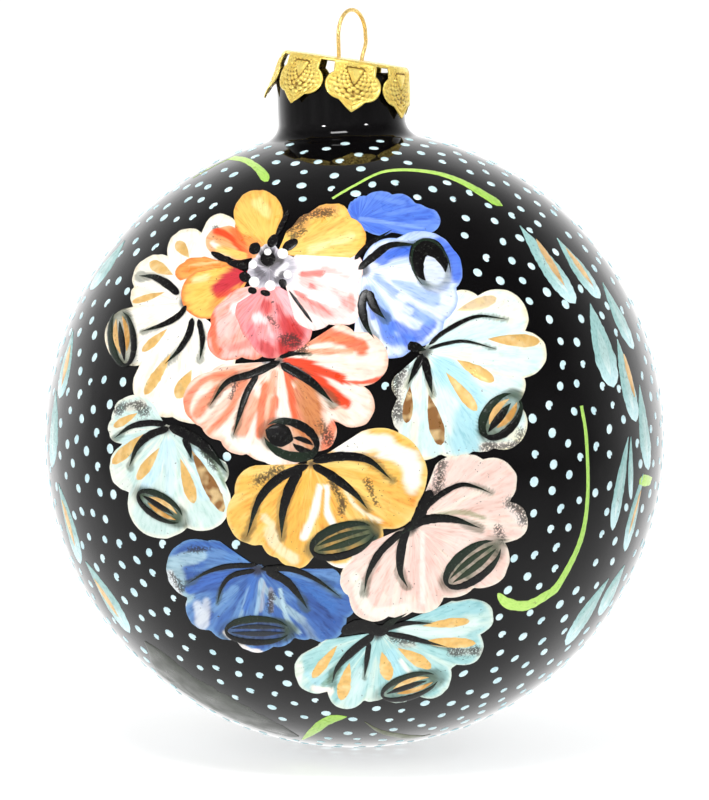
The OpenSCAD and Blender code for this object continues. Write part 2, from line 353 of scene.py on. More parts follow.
            (2.6, [(-15.5, -7), (-13.5, -5.5), (-12, -5)]), (1.7, [(-4, -6.5), (-2, -10), (-2, -12)]),
            (1.4, [(2, -7), (3.5, -10.5)]),
        ],
        "veins": [
            (1.5, [(-6.8, -3.8), (-2.4, -3), (2.2, -3.6), (6, -6.8)]),
            (1.5, [(-6.8, -4.4), (-3.6, -6.2), (0, -9), (2.2, -11.6)]),
            (1.5, [(-7.4, -4.4), (-12, -6.4), (-15.4, -10), (-17.4, -16)]),
            (1.7, [(-8.6, -4.8), (-10.4, -8), (-11.6, -12), (-11.8, -16.2)]),
        ],
        "seed": ("lens", (-1.8, -16.6), 12.4, 5.4, 18),
    },
    {
        "name": "turquoise_flower", "calyx": (4, -31.4), "ground": "A3D3D3", "rim": "DCE9DA",
        "lobes": [
            (18.6, -29.2, 3.2), (19.8, -29, 2.8), (16, -29, 2.6), (17.8, -33.6, 3.2), (14, -34, 3.8),
            (12, -38.4, 3.8), (6.8, -39.6, 3.4), (2.8, -39.2, 3.6), (-1.2, -40.8, 3.2),
            (-6.2, -37.8, 3.6), (-3.4, -35.6, 3.2),
        ],
        "washes": [
            ("D9EEE8", 0.9, 2.1, [(8, -31), (15.5, -31.5), (19.5, -30)]),
            ("93CCD2", 0.8, 2.1, [(11.5, -28), (20, -27.5)]),
            ("CFEAE8", 0.7, 2.4, [(1, -38.5), (-0.5, -43)]), ("A8DCE6", 0.8, 2.1, [(6, -35), (7, -38)]),
            ("EFF4EA", 0.9, 0.8, [(7.5, -36), (9, -38)]),
            ("F6F1E4", 0.95, 1.2, [(-6.5, -40.5), (-4, -41)]),
            ("EDF3E6", 0.9, 1.4, [(-9, -36.5), (-9, -39)]),
            ("A8D8E0", 0.8, 1.4, [(-7.5, -38.5), (-6, -39.5)]),
            ("B8B6A8", 0.6, 1.2, [(7.5, -33.5), (9.5, -33.5)]),
            ("BDBBB0", 0.6, 1.4, [(16, -34.5), (20, -34.5)]),
            ("5A7A50", 0.6, 0.9, [(-2.5, -37.5), (-5, -40)]),
        ],
        "dust": [
            (1.9, [(6, -32.5), (9.5, -33)]), (2.1, [(16, -34.5), (19.5, -34.5)]),
            (1.4, [(-2, -31.5), (1.5, -30)]),
        ],
        "veins": [
            (1.4, [(3.2, -31.8), (-0.2, -34.4), (-2.8, -37.2), (-3.6, -39.6)]),
            (0.9, [(2.4, -33), (2, -35.8), (1.6, -38.8)]), (0.8, [(5, -31), (8.4, -30), (12.6, -30)]),
            (1, [(5, -31.6), (8.4, -32.2), (10.8, -32.8), (15, -33.8)]),
            (2.1, [(-2.2, -31.4), (1.2, -30.4), (4.2, -31.2), (6, -29.8), (8.4, -28.4)]),
        ],
        "drops": [
            ("gold", 1.7, (-2.8, -33.6), (-6.8, -38.8)), ("gold", 2.2, (-0.8, -36.4), (-2.2, -42.4)),
            ("gold", 2.2, (4.4, -34.6), (5.6, -39.2)), ("gold", 2.1, (7, -34), (12.4, -37.2)),
            ("gold", 1.6, (11, -30.4), (18.6, -29.6)), ("gold", 1.8, (10.2, -33), (19.6, -33.2)),
        ],
        "seed": ("striped", (9, -40.2), 11, 3.9, 18),
    },
    {
        "name": "pink_flower", "calyx": (9.4, -14), "ground": "F3D2C6", "rim": "F3E6D4",
        "lobes": [
            (15.8, -6.2, 3.2), (18.4, -6.8, 4.2), (22.4, -7.2, 4), (25, -13.6, 3.2), (21.6, -12.6, 4.2),
            (20.4, -19.6, 4.8), (15.8, -21.6, 4.4), (10.8, -24.8, 3.8), (6.8, -25.4, 3.8),
            (3, -25.8, 4), (0.8, -23, 3.2), (2.2, -20, 2.8),
        ],
        "washes": [
            ("F4C6BA", 0.8, 4.3, [(12.5, -17), (9, -24)]),
            ("F6EFE2", 0.9, 1.9, [(0, -22.5), (2.5, -28), (8.5, -27.5)]),
            ("FADBD0", 0.7, 2.8, [(16, -17.5), (18, -15.5)]),
            ("F4E2DA", 0.8, 2.1, [(25.5, -11.5), (27, -13.5)]),
            ("B9A79C", 0.55, 1.4, [(14, -6), (13.5, -8)]),
            ("A8988E", 0.5, 0.9, [(25.5, -11), (26.5, -11.5)]),
            ("7A8A50", 0.6, 0.8, [(12.5, -12.5), (17, -12), (21, -13)]),
            ("F8F0E6", 0.8, 0.9, [(11, -15.5), (11, -26.5)]),
        ],
        "dust": [
            (2.6, [(14, -4.5), (13.5, -7), (13, -9)]), (2.4, [(25, -10.5), (27, -11.5), (27.5, -13)]),
            (1.7, [(24, -16.5), (23, -14.5)]),
        ],
        "veins": [
            (1, [(11, -11.6), (14.2, -9), (17.2, -7.6), (19.8, -8), (22.2, -9)]),
            (1.6, [(8, -14.8), (11.8, -13.2), (16, -13.2), (20.4, -14.6)]),
            (1.5, [(8.6, -14.4), (7.6, -17.8), (7.4, -21.6), (8.6, -24.2)]),
            (1.3, [(7.8, -15), (4.2, -18.4), (2.2, -22), (1.6, -25)]),
            (2, [(12.4, -8.4), (11, -11.4), (9.2, -14.4), (7.4, -15.6)]),
        ],
        "seed": ("lens", (19.2, -20.4), 12.4, 5.4, 38),
    },
]

OPEN_FLOWER = [
    {
        "name": "open_petal_thin", "calyx": (-19.6, 28), "ground": "F49A4C", "rim": "EE7C38",
        "lobes": [
            (-22.2, 28, 0.8), (-24.2, 28.2, 1.2), (-26.4, 27.8, 1.4), (-27.8, 26.8, 1.4),
        ],
        "washes": [
            ("F7A050", 0.8, 0.7, [(-27.5, 26), (-24, 27.5)]),
            ("FBCF90", 0.7, 0.5, [(-26.5, 28), (-22, 28.5)]),
        ],
    },
    {
        "name": "open_petal_left", "calyx": (-17, 26.4), "ground": "F8C05A", "rim": "EC6C34",
        "lobes": [
            (-20.6, 25.2, 2.8), (-22.6, 24, 3.6), (-24.2, 23.2, 4),
        ],
        "washes": [
            ("C7303C", 1, 3.4, [(-21.5, 24), (-20, 25.5), (-17.5, 27)]),
            ("D84838", 0.9, 1.4, [(-22, 23), (-19.5, 23.5)]),
            ("FFE9B0", 0.7, 1.1, [(-26, 25.5), (-24, 26)]),
            ("F9C860", 0.7, 1.6, [(-26, 22), (-24, 21.5)]),
            ("E9C9C4", 0.6, 1.1, [(-22, 21), (-20, 23)]),
        ],
    },
    {
        "name": "open_petal_scarlet", "calyx": (-16, 29.4), "ground": "F59A58", "rim": "F6B48A",
        "lobes": [
            (-18.8, 31, 2.2), (-20.6, 32, 2.4), (-22, 31.8, 2.2),
        ],
        "washes": [
            ("F2481E", 1, 1.4, [(-22.5, 33.5), (-20, 32.5), (-18, 30)]),
            ("F6703A", 0.8, 1, [(-19.5, 33.5), (-18.5, 31.5), (-17, 29.5)]),
            ("FFF4E6", 0.9, 1.1, [(-23, 31.5), (-20.5, 29.5)]),
            ("FFC766", 0.9, 1.4, [(-22, 30.5), (-18, 29.5)]),
        ],
    },
    {
        "name": "open_petal_lower_left", "calyx": (-15.2, 24.8), "ground": "F4BDB6", "rim": "F07E5E",
        "lobes": [
            (-17.8, 21.6, 2.8), (-17, 19.6, 2.8), (-19.8, 18.8, 3.6), (-20.4, 16, 3.6),
            (-17.8, 16.4, 3.4), (-16.6, 15.4, 2.8),
        ],
        "washes": [
            ("F26A46", 0.95, 1.6, [(-23, 19.5), (-23, 17), (-22, 14)]),
            ("F4A090", 0.85, 1.8, [(-21.5, 15.5), (-18, 16.5)]),
            ("EF7C70", 0.8, 1.6, [(-20, 14.5), (-16.5, 15.5)]),
            ("FFFFFF", 0.8, 1.8, [(-19.5, 21), (-17, 22.5)]),
            ("F7BDB4", 0.8, 1.1, [(-20, 19), (-20.5, 16.5)]),
            ("E87A70", 0.6, 0.9, [(-17, 21), (-17.5, 18)]),
        ],
    },
    {
        "name": "open_petal_bottom", "calyx": (-13.6, 25.2), "ground": "EC9296", "rim": "E8847E",
        "lobes": [
            (-12.8, 21.6, 2.8), (-15.2, 18.8, 3.6), (-10.4, 17.6, 3.6), (-13.4, 16.4, 3.6),
            (-17, 20.4, 2.4), (-10.6, 21, 2.4),
        ],
        "washes": [
            ("BF2828", 1, 3.4, [(-11, 18.5), (-9.5, 16.5), (-11.5, 14.5)]),
            ("C83A3A", 0.9, 2, [(-14, 21.5), (-14, 20.5)]),
            ("F9DDDD", 0.9, 1.8, [(-16, 19.5), (-14.5, 19)]),
            ("F4ACB2", 0.9, 1.8, [(-12, 23.5), (-10, 20.5)]),
            ("C83C3E", 0.9, 2, [(-15, 15), (-13.5, 14)]),
            ("C63A40", 0.8, 0.9, [(-12.5, 21.5), (-11.5, 19), (-11, 16)]),
            ("F7C3C6", 0.8, 0.8, [(-14, 18.5), (-13.5, 16.5)]),
            ("E8727A", 0.8, 1.4, [(-17, 18), (-16, 15)]),
        ],
        "dust": [
            (2.5, [(-11, 16), (-9.5, 15.5)]), (1.6, [(-14, 19.5), (-12.5, 18)]),
        ],
    },
    {
        "name": "open_petal_right", "calyx": (-11.8, 27.2), "ground": "F9E2DE", "rim": "F4CFC8",
        "lobes": [
            (-7, 25.6, 4), (-4.2, 25.2, 5), (-3, 22.2, 4), (-6.6, 21, 3.6), (-1.8, 27.4, 3.4),
            (-6, 29.2, 2.8), (-1.4, 20.6, 2.4),
        ],
        "washes": [
            ("F3A8A2", 0.85, 2, [(-8, 25.5), (-1.5, 23)]),
            ("EF928C", 0.85, 2.7, [(-8.5, 22), (-4, 20.5), (-2, 20.5)]),
            ("EF5F52", 0.95, 1.1, [(-8.5, 26.5), (-5.5, 26.5)]),
            ("E4584E", 0.85, 1, [(-7, 24.5), (-3, 23), (-1.5, 21.5)]),
            ("EE7A6C", 0.85, 1.1, [(-0.5, 23), (-0.5, 20.5)]),
            ("F9D3CF", 0.7, 2.7, [(-5, 23.5), (-2, 20)]),
            ("FFF8F0", 0.9, 1.8, [(-8, 30), (-1.5, 29.5)]),
            ("E8645A", 0.8, 0.8, [(-9.5, 23.5), (-6, 21.5), (-3.5, 20)]),
            ("FDF3F0", 0.9, 1.1, [(-7, 23), (-3, 21.5)]), ("F3A09A", 0.8, 0.9, [(-5, 27.5), (-1, 26)]),
        ],
    },
    {
        "name": "open_petal_upper_right", "calyx": (-12.4, 29.8), "ground": "FAC464", "rim": "F4AC48",
        "lobes": [
            (-9.2, 31.8, 2.4), (-7, 33.6, 2.8), (-4.2, 35.2, 2.8), (-3, 35.8, 2.2), (-4.8, 31.8, 2.2),
            (-1.4, 32.4, 3.4),
        ],
        "washes": [
            ("E9A25A", 0.95, 2, [(-10, 35), (-6.5, 36.5), (-3.5, 37)]),
            ("F3A048", 0.9, 0.8, [(-8, 32), (-5, 33.5), (-2, 35)]),
            ("C98E4C", 0.7, 1.4, [(-10, 33.5), (-7.5, 34.5)]),
            ("FFE3A0", 0.7, 1.4, [(-7, 30.5), (-0.5, 32.5)]),
            ("F6A83C", 0.7, 0.9, [(2, 33), (0.5, 31)]),
        ],
        "dust": [
            (2.5, [(-10.5, 34), (-7.5, 36), (-4, 36.5)]), (1.4, [(-10, 32.5), (-8, 33.5)]),
        ],
    },
    {
        "name": "open_petal_top", "calyx": (-14, 30.4), "ground": "F9C05E", "rim": "F7AE4A",
        "lobes": [
            (-15.6, 36.2, 4), (-16, 34.2, 3.4), (-15.6, 32.4, 2),
        ],
        "washes": [
            ("F7944A", 0.95, 2.9, [(-17, 31.5), (-15.5, 30.5)]),
            ("F4602E", 0.9, 1.4, [(-19.5, 33.5), (-17.5, 30)]),
            ("FBC262", 0.7, 1.8, [(-16, 33.5), (-14, 33.5)]),
            ("FFE69A", 0.6, 2, [(-15.5, 38), (-14.5, 36.5)]),
        ],
    },
    {
        "name": "open_centre", "calyx": (-13.8, 27.4), "ground": "B2AEB8", "rim": "DAD2D8",
        "lobes": [
            (-13.8, 27.6, 2.8), (-15.2, 26.4, 2.2), (-12, 26.8, 2.4), (-11, 27.8, 1.8),
            (-15.6, 27.6, 1.6), (-13.8, 29.6, 1.8),
        ],
        "washes": [
            ("1E1A1C", 0.95, 2.7, [(-14, 29.5), (-13, 28.5)]),
            ("4A4648", 0.85, 1.4, [(-15, 28.5), (-14, 28), (-12, 28.5)]),
            ("77737C", 0.8, 1.6, [(-12.5, 27.5), (-14, 26), (-15.5, 26.5)]),
            ("F0ECF0", 0.85, 1.1, [(-11, 28), (-12.5, 26.5)]),
            ("5A555C", 0.8, 1.1, [(-15, 26.5), (-16, 27.5)]),
            ("3A363A", 0.8, 1.1, [(-12.5, 25.5), (-11.5, 26.5)]),
        ],
    },
]

# A stamen is (width, one end, other end).
STAMENS = [
    (2.1, (-16.8, 31.2), (-15.4, 30)), (1.8, (-13.8, 30.8), (-12.6, 32.8)),
    (0.9, (-12.6, 32.8), (-10.6, 36.8)), (1.7, (-11.6, 30.4), (-9.2, 32)),
    (2.4, (-15.2, 29.2), (-12.8, 28.6)), (1.2, (-20.6, 28.4), (-17.2, 27.6)),
    (1.1, (-23.2, 30), (-20.4, 28.6)), (1.7, (-18.6, 26.4), (-16.8, 25.6)),
    (1.2, (-17.2, 24), (-15.8, 23.6)), (1.1, (-15.2, 23.6), (-13.6, 23.2)),
    (1.4, (-12, 25.6), (-11.2, 24.4)), (0.6, (-10.6, 23.8), (-6.8, 18.6)),
]
# An anther is (right, up, radius).
ANTHERS = [
    (-14, 30, 0.7), (-11.6, 29.8, 1), (-16.4, 28, 0.8), (-10.8, 26.4, 0.8), (-16.2, 25.2, 1),
    (-13.6, 24.6, 1),
]
# A leaf is (kind, width, pointed end, round end), and the gold on it is pointed at both its ends.
LEAVES = [
    ("aqua", 3.5, (26.8, 34.4), (35.8, 21.8)), ("gold", 1.4, (29.4, 32.2), (34, 24.6)),
    ("aqua", 2.5, (32.8, 32.4), (39.8, 22.6)), ("gold", 1, (34.2, 30.8), (38.6, 24.6)),
    ("aqua", 3.9, (38.2, 21.8), (42, 8.2)), ("aqua", 2, (40.2, 25.2), (45.2, 14.4)),
    ("aqua", 2.6, (42.6, 16), (45.6, 2.6)), ("gold", 0.9, (43.6, 13.6), (45.4, 6.6)),
    ("aqua", 2, (46.2, 8.6), (47.6, -5.2)), ("aqua", 1.9, (44.4, 0.2), (41.8, -15)),
    ("aqua", 1, (44.8, 0.2), (44.8, -10)), ("aqua", 1.6, (46.8, -5.8), (43.8, -18.4)),
    ("gold", 0.5, (46.4, -8.4), (44.4, -15.6)), ("aqua", 2.2, (41.2, -22.8), (34.2, -33.6)),
    ("aqua", 1.8, (43.8, -20.6), (39.6, -28.8)), ("aqua", 1.8, (-37.2, 32), (-42.8, 24)),
    ("aqua", 1.8, (-45.6, 17.4), (-47.8, 6.4)), ("gold", 0.7, (-46, 15), (-47.4, 8.4)),
    ("aqua", 1.6, (-48.4, 7.6), (-49, -4.8)), ("aqua", 1.8, (-48, -7.4), (-44.4, -20.4)),
    ("gold", 0.7, (-47.4, -10), (-45.2, -17.6)), ("aqua", 2.2, (-43.6, -20), (-36.4, -31.6)),
    ("gold", 0.8, (-42.2, -22.8), (-38.2, -29)),
]
# A stem is (brush shape, width, colour, end colour, path).
STEMS = [
    ("heavy_end", 1.9, "C2EA78", "A4D458", [
        (-27.2, 43.8), (-22.4, 45.2), (-18.4, 45.2), (-15.8, 43.8), (-14, 41.6),
    ]),
    ("heavy_end", 1.4, "B4DE66", "9CCB50", [
        (-3.6, 38.8), (-0.2, 40.8), (5, 43.2), (11.6, 43.2), (17.2, 41.6), (24, 37.6),
    ]),
    ("heavy_end", 2, "A8D860", "B8E46C", [
        (36.8, 5.2), (37.6, -0.2), (37.8, -9.6), (36.6, -16.8), (33.2, -23.6),
        (31, -25.6), (27.8, -27.2), (24.8, -26.8), (23.2, -25.2),
    ]),
    ("lens", 1.5, "9CCB50", "BDE56E", [(-1.2, -45.2), (-4.2, -45.8), (-6.8, -47.6), (-8.6, -49)]),
    ("lens", 0.7, "5A6040", "5A6040", [(1.6, -46), (4.2, -47.6), (8.2, -48.4), (12.4, -48.4)]),
    ("lens", 1.9, "B8E46C", "C8EC80", [(46.2, -7.6), (47.4, -6.8), (48.2, -6.4)]),
    ("lens", 5.5, "232A1C", "1C2018", [(-34, -33), (-27, -41), (-18, -46), (-9, -48.4)]),
]


def linear(code):
    """Turns an sRGB hex colour such as D5F0F7 into linear red, green and blue."""
    parts = [int(code.lstrip("#")[i : i + 2], 16) / 255 for i in (0, 2, 4)]
    return [c / 12.92 if c <= 0.04045 else ((c + 0.055) / 1.055) ** 2.4 for c in parts]


def srgb_code(colour):
    """The hex code of a colour property, which a user sees as sRGB."""
    return "".join("%02X" % round(255 * c) for c in colour[:3])


def to_frame(points):
    """Moves points given in mm from the ball's centre into the frame, in metres."""
    return np.asarray(points, float) * MM + CENTRE


def turn_y(points, angle):
    """Turns points about the Y axis."""
    x, y, z = np.asarray(points, float).T
    c, s = math.cos(angle), math.sin(angle)
    return np.stack([x * c + z * s, y, z * c - x * s], axis=1)


def turn_z(points, angle):
    """Turns points about the upright."""
    x, y, z = np.asarray(points, float).T
    c, s = math.cos(angle), math.sin(angle)
    return np.stack([x * c - y * s, x * s + y * c, z], axis=1)


def lay(plane, lift, turn=0.0):
    """Lays points of the painting on the glaze, where the eye sees them, `lift` mm above it."""
    plane = np.asarray(plane, float)
    reach = np.hypot(plane[:, 0], plane[:, 1])
    limit = 0.992 * BALL_R
    plane = plane * np.minimum(1.0, limit / np.maximum(reach, 1e-6))[:, None]
    seen = plane[:, :1] * np.array([[1.0, 0.0, 0.0]]) + plane[:, 1:] * EYE_UP[None, :]
    ray = seen - EYE
    a = (ray * ray).sum(axis=1)
    b = (ray * EYE).sum(axis=1)
    c = (EYE * EYE).sum() - BALL_R**2
    step = (-b - np.sqrt(np.maximum(b * b - a * c, 0.0))) / a
    hit = EYE + ray * step[:, None]
    out = hit / np.linalg.norm(hit, axis=1)[:, None]
    placed = out * (GLAZE_R + np.broadcast_to(lift, len(out)))[:, None]
    return turn_z(placed, turn)


def value_noise(points, seed):
    """Smooth noise from 0 to 1 at points of any two or three coordinates."""
    points = np.asarray(points, float)
    table = np.random.RandomState(seed).rand(4096)
    low = np.floor(points).astype(int)
    part = points - low
    part = part * part * (3 - 2 * part)
    total = np.zeros(len(points))
    for corner in range(2 ** points.shape[1]):
        share = np.ones(len(points))
        key = np.full(len(points), seed, dtype=int)
        for axis in range(points.shape[1]):
            bit = corner >> axis & 1
            share = share * (part[:, axis] if bit else 1 - part[:, axis])
            key = (key * 131 + (low[:, axis] + bit) * 977 + 57) & 0xFFFFFF
        total += share * table[(key * 7919 >> 3) % 4096]
    return total


def smooth_step(value, low, high):
    """Rises smoothly from 0 at low to 1 at high."""
    t = np.clip((value - low) / (high - low), 0, 1)
    return t * t * (3 - 2 * t)


def curve_through(path, steps=8):
    """A smooth line through a few points, as a list of closely spaced points."""
    path = [np.asarray(p, float) for p in path]
    if len(path) == 2:
        return np.array([path[0] + (path[1] - path[0]) * i / steps for i in range(steps + 1)])
    ends = [2 * path[0] - path[1]] + path + [2 * path[-1] - path[-2]]
    points = []
    for i in range(1, len(ends) - 2):
        before, here, there, after = ends[i - 1 : i + 3]
        for k in range(steps):
            t = k / steps
            bend = 2 * before - 5 * here + 4 * there - after
            twist = 3 * here - before - 3 * there + after
            points.append(here + 0.5 * t * (there - before + t * (bend + t * twist)))
    return np.array(points + [path[-1]])


def along_path(points, path):
    """For each point, its distance to the line and how far along the line it is, from 0 to 1."""
    nearest = np.full(len(points), 1e9)
    share = np.zeros(len(points))
    lengths = np.linalg.norm(np.diff(path, axis=0), axis=1)
    whole = max(lengths.sum(), 1e-9)
    done = 0.0
    for start, end, length in zip(path[:-1], path[1:], lengths):
        step = end - start
        t = np.clip(((points - start) @ step) / max(length**2, 1e-9), 0, 1)
        gap = np.linalg.norm(points - start - t[:, None] * step, axis=1)
        closer = gap < nearest
        nearest = np.where(closer, gap, nearest)
        share = np.where(closer, (done + t * length) / whole, share)
        done += length
    return nearest, share


def add_object(name, data):
    """Puts one object at the origin of the scene."""
    made = bpy.data.objects.new(name, data)
    bpy.context.scene.collection.objects.link(made)
    return made


def grid_faces(rows, columns, first=0):
    """Four-sided faces over points laid out in rows, counted from `first`."""
    faces = []
    for row in range(rows - 1):
        for column in range(columns - 1):
            a = first + row * columns + column
            faces.append((a, a + columns, a + columns + 1, a + 1))
    return faces


def mesh_piece(name, points, faces, materials, colours=None, vectors=None):
    """Makes one object at the origin from points in the frame, with its paint and brush attributes.

    The paint's fourth value says how thickly dark specks lie there."""
    mesh = bpy.data.meshes.new(name)
    mesh.from_pydata([tuple(p) for p in points], [], [tuple(int(i) for i in f) for f in faces])
    mesh.polygons.foreach_set("use_smooth", [True] * len(mesh.polygons))
    for material in materials:
        mesh.materials.append(material)
    if colours is not None:
        paint = mesh.attributes.new("paint", "FLOAT_COLOR", "POINT")
        if colours.shape[1] == 3:
            colours = np.column_stack([colours, np.zeros(len(colours))])
        paint.data.foreach_set("color", colours.ravel())
    if vectors is not None:
        brush = mesh.attributes.new("brush", "FLOAT_VECTOR", "POINT")
        brush.data.foreach_set("vector", np.asarray(vectors, float).ravel())
    mesh.update()
    return add_object(name, mesh)


class Strokes:
    """Collects brush strokes, each a thin domed ribbon on the glaze, into one piece."""

    ACROSS = np.array([-1.0, -0.86, -0.45, 0.0, 0.45, 0.86, 1.0])
    DOME = np.array([-1.0, 0.55, 0.9, 1.0, 0.9, 0.55, -1.0])

    def __init__(self, turn=0.0, flip=False):
        self.turn = turn
        self.flip = flip
        self.points, self.faces, self.colours, self.brush = [], [], [], []
        self.count = 0

    def add(self, path, width, profile, colour, end_colour=None, lift=STROKE_LIFT, height=0.03, seed=1):
        """Lays one stroke. profile gives its half-width as a share, from 0 to 1 along the path."""
        line = curve_through(path, 10 if len(path) > 2 else 26)
        step = np.gradient(line, axis=0)
        step /= np.maximum(np.linalg.norm(step, axis=1), 1e-9)[:, None]
        side = np.column_stack([-step[:, 1], step[:, 0]])
        gaps = np.r_[0, np.cumsum(np.linalg.norm(np.diff(line, axis=0), axis=1))]
        share = gaps / gaps[-1]
        half = np.maximum(profile(share), 0.02) * width / 2
        rows, columns = len(line), len(self.ACROSS)
        rough = value_noise(np.column_stack([gaps * 1.7 + seed * 3.1, share * 0 + seed]), seed) - 0.5
        half = half * (1 + 0.16 * rough)
        across = self.ACROSS[None, :] * half[:, None]
        plane = line[:, None, :] + across[:, :, None] * side[:, None, :]
        rise = lift + np.where(self.DOME < 0, -0.04, self.DOME * height)[None, :] * np.ones((rows, 1))
        points = lay(self.place(plane.reshape(-1, 2)), rise.ravel(), self.turn)
        self.points.append(to_frame(points))
        faces = grid_faces(rows, columns, self.count)
        self.faces += [face[::-1] for face in faces] if self.flip else faces
        first = np.array(linear(colour))
        last = np.array(linear(end_colour or colour))
        blend = smooth_step(share, 0.55, 1.0)[:, None, None]
        colours = first * (1 - blend) + last * blend
        self.colours.append(np.broadcast_to(colours, (rows, columns, 3)).reshape(-1, 3))
        brush = np.zeros((rows, columns, 3))
        brush[:, :, 0] = gaps[:, None] * 0.35
        brush[:, :, 1] = across
        brush[:, :, 2] = seed
        self.brush.append(brush.reshape(-1, 3))
        self.count += rows * columns

    def place(self, plane):
        """Mirrors the layout for a bouquet on the back."""
        return plane * np.array([-1.0, 1.0]) if self.flip else plane

    def piece(self, name, material):
        """Makes one piece of all the strokes laid so far."""
        return mesh_piece(
            name, np.concatenate(self.points), self.faces, [material],
            np.concatenate(self.colours), np.concatenate(self.brush),
        )


def tapered(share):
    """A brush set down at the start and lifted off at the end."""
    start = np.sqrt(np.clip(share / 0.08, 0, 1))
    return start * (0.82 + 0.25 * np.sin(math.pi * share)) * (1 - share**2.6)


def teardrop(share):
    """Round at the start and pointed at the end."""
    head = 0.36
    dome = np.sqrt(np.clip(1 - (1 - share / head) ** 2, 0, 1))
    tail = np.clip((1 - share) / (1 - head), 0, 1)
    return np.where(share < head, dome, np.clip(1 - (1 - tail) ** 1.7, 0, 1))


def drop_reversed(share):
    """Pointed at the start and round at the end."""
    return teardrop(1 - share)


def bean(share):
    """Round at both ends."""
    return np.sqrt(np.clip(1 - (2 * share - 1) ** 2, 0, 1))


def lens(share):
    """Pointed at both ends and widest in the middle."""
    return np.sin(math.pi * share) ** 0.8


def heavy_end(share):
    """Thin at the start and thick with a round end."""
    return (0.26 + 0.74 * share**3) * np.sqrt(np.clip((1 - share) / 0.06, 0, 1))


BRUSHES = {"lens": lens, "heavy_end": heavy_end}


def petal_edge(angles, calyx, lobes):
    """How far a flower reaches from its calyx at each angle, round the outside of its lobes."""
    way = np.column_stack([np.cos(angles), np.sin(angles)])
    reach = np.full(len(angles), 0.7)
    for right, up, radius in lobes:
        gap = np.array([right - calyx[0], up - calyx[1]])
        along = way @ gap
        inside = along**2 - gap @ gap + radius**2
        reach = np.where(inside > 0, np.maximum(reach, along + np.sqrt(np.maximum(inside, 0))), reach)
    return reach


def seed_point(seed, x, y):
    """A place on a seed, from its distance along the seed and across it."""
    centre, tilt = seed[1], math.radians(seed[4])
    c, s = math.cos(tilt), math.sin(tilt)
    return centre[0] + x * c - y * s, centre[1] + x * s + y * c


def seed_oval(seed, size, start, end, steps=9):
    """Points round a seed's oval, between two angles counted from its right-hand tip."""
    _, _, length, width, _ = seed
    points = []
    for turn in np.radians(np.linspace(start, end, steps)):
        x, y = math.cos(turn) * length / 2 * size, math.sin(turn) * width / 2 * size
        points.append(seed_point(seed, x, y))
    return points


def seed_stripe(seed, height, length_share, shift=0.0):
    """Points of a stripe along a seed, at a height that is a share of its half-width."""
    _, _, length, width, _ = seed
    points = []
    for t in (-1.0, -0.5, 0.0, 0.5, 1.0):
        x = (t * length_share + shift) * length / 2
        y = height * (1 - 0.45 * t * t) * width / 2
        points.append(seed_point(seed, x, y))
    return points


BLACK = "0D0B0C"
GREEN_BLACK = "1C2A1E"


def paint_seed(seed, black, gold):
    """A seed at a petal's foot: a dark oval with a heavy end, and gold, orange or green inside."""
    kind, _, length, width, _ = seed
    if kind == "bell":
        black.add(seed_oval(seed, 0.72, -125, 125, 13), width * 0.5, lens, BLACK, seed=9)
        black.add(seed_oval(seed, 0.98, -120, 120, 13), width * 0.1, lens, GREEN_BLACK, seed=12)
        return
    black.add(seed_oval(seed, 0.86, 25, 215), width * 0.27, lens, GREEN_BLACK, BLACK, seed=3)
    black.add(seed_oval(seed, 0.86, 150, 340), width * 0.24, lens, BLACK, GREEN_BLACK, seed=4)
    if kind == "striped":
        black.add(seed_stripe(seed, 0.05, 0.62, -0.1), width * 0.24, lens, BLACK, GREEN_BLACK, seed=5)
        gold.add(seed_stripe(seed, 0.46, 0.55, 0.05), width * 0.2, lens, "EDBE78", seed=6)
        gold.add(seed_stripe(seed, -0.4, 0.55, 0.12), width * 0.2, lens, "D9A050", seed=7)
    elif kind == "dark_orange":
        black.add(seed_stripe(seed, 0.0, 0.46, 0.36), width * 0.66, lens, BLACK, seed=8)
        black.add(seed_stripe(seed, 0.3, 0.3, -0.42), width * 0.16, lens, BLACK, seed=13)
        black.add(seed_stripe(seed, -0.2, 0.34, -0.4), width * 0.14, lens, BLACK, seed=14)
    else:
        ink = "2A3826" if kind == "lens" else "2B3038"
        black.add(seed_stripe(seed, 0.3, 0.72), width * 0.17, lens, ink, seed=10)
        black.add(seed_stripe(seed, -0.22, 0.72), width * 0.2, lens, ink, seed=11)


def seed_shade(points, seed):
    """How far each point lies inside a seed's oval, and how near it is to the oval's line."""
    _, centre, length, width, tilt = seed
    c, s = math.cos(math.radians(tilt)), math.sin(math.radians(tilt))
    x, y = points[:, 0] - centre[0], points[:, 1] - centre[1]
    along, across = (x * c + y * s) / (length / 2), (y * c - x * s) / (width / 2)
    ring = np.hypot(along, across)
    halo = 1 - smooth_step(np.abs(ring - 0.88) * width / 2, 0.25, 0.75)
    return 1 - smooth_step(ring, 0.75, 0.95), halo


def covered(colour, code, cover):
    """Lays a colour over others, as thickly at each point as `cover` says, from 0 to 1."""
    cover = cover[:, None]
    return colour * (1 - cover) + np.array(linear(code)) * cover


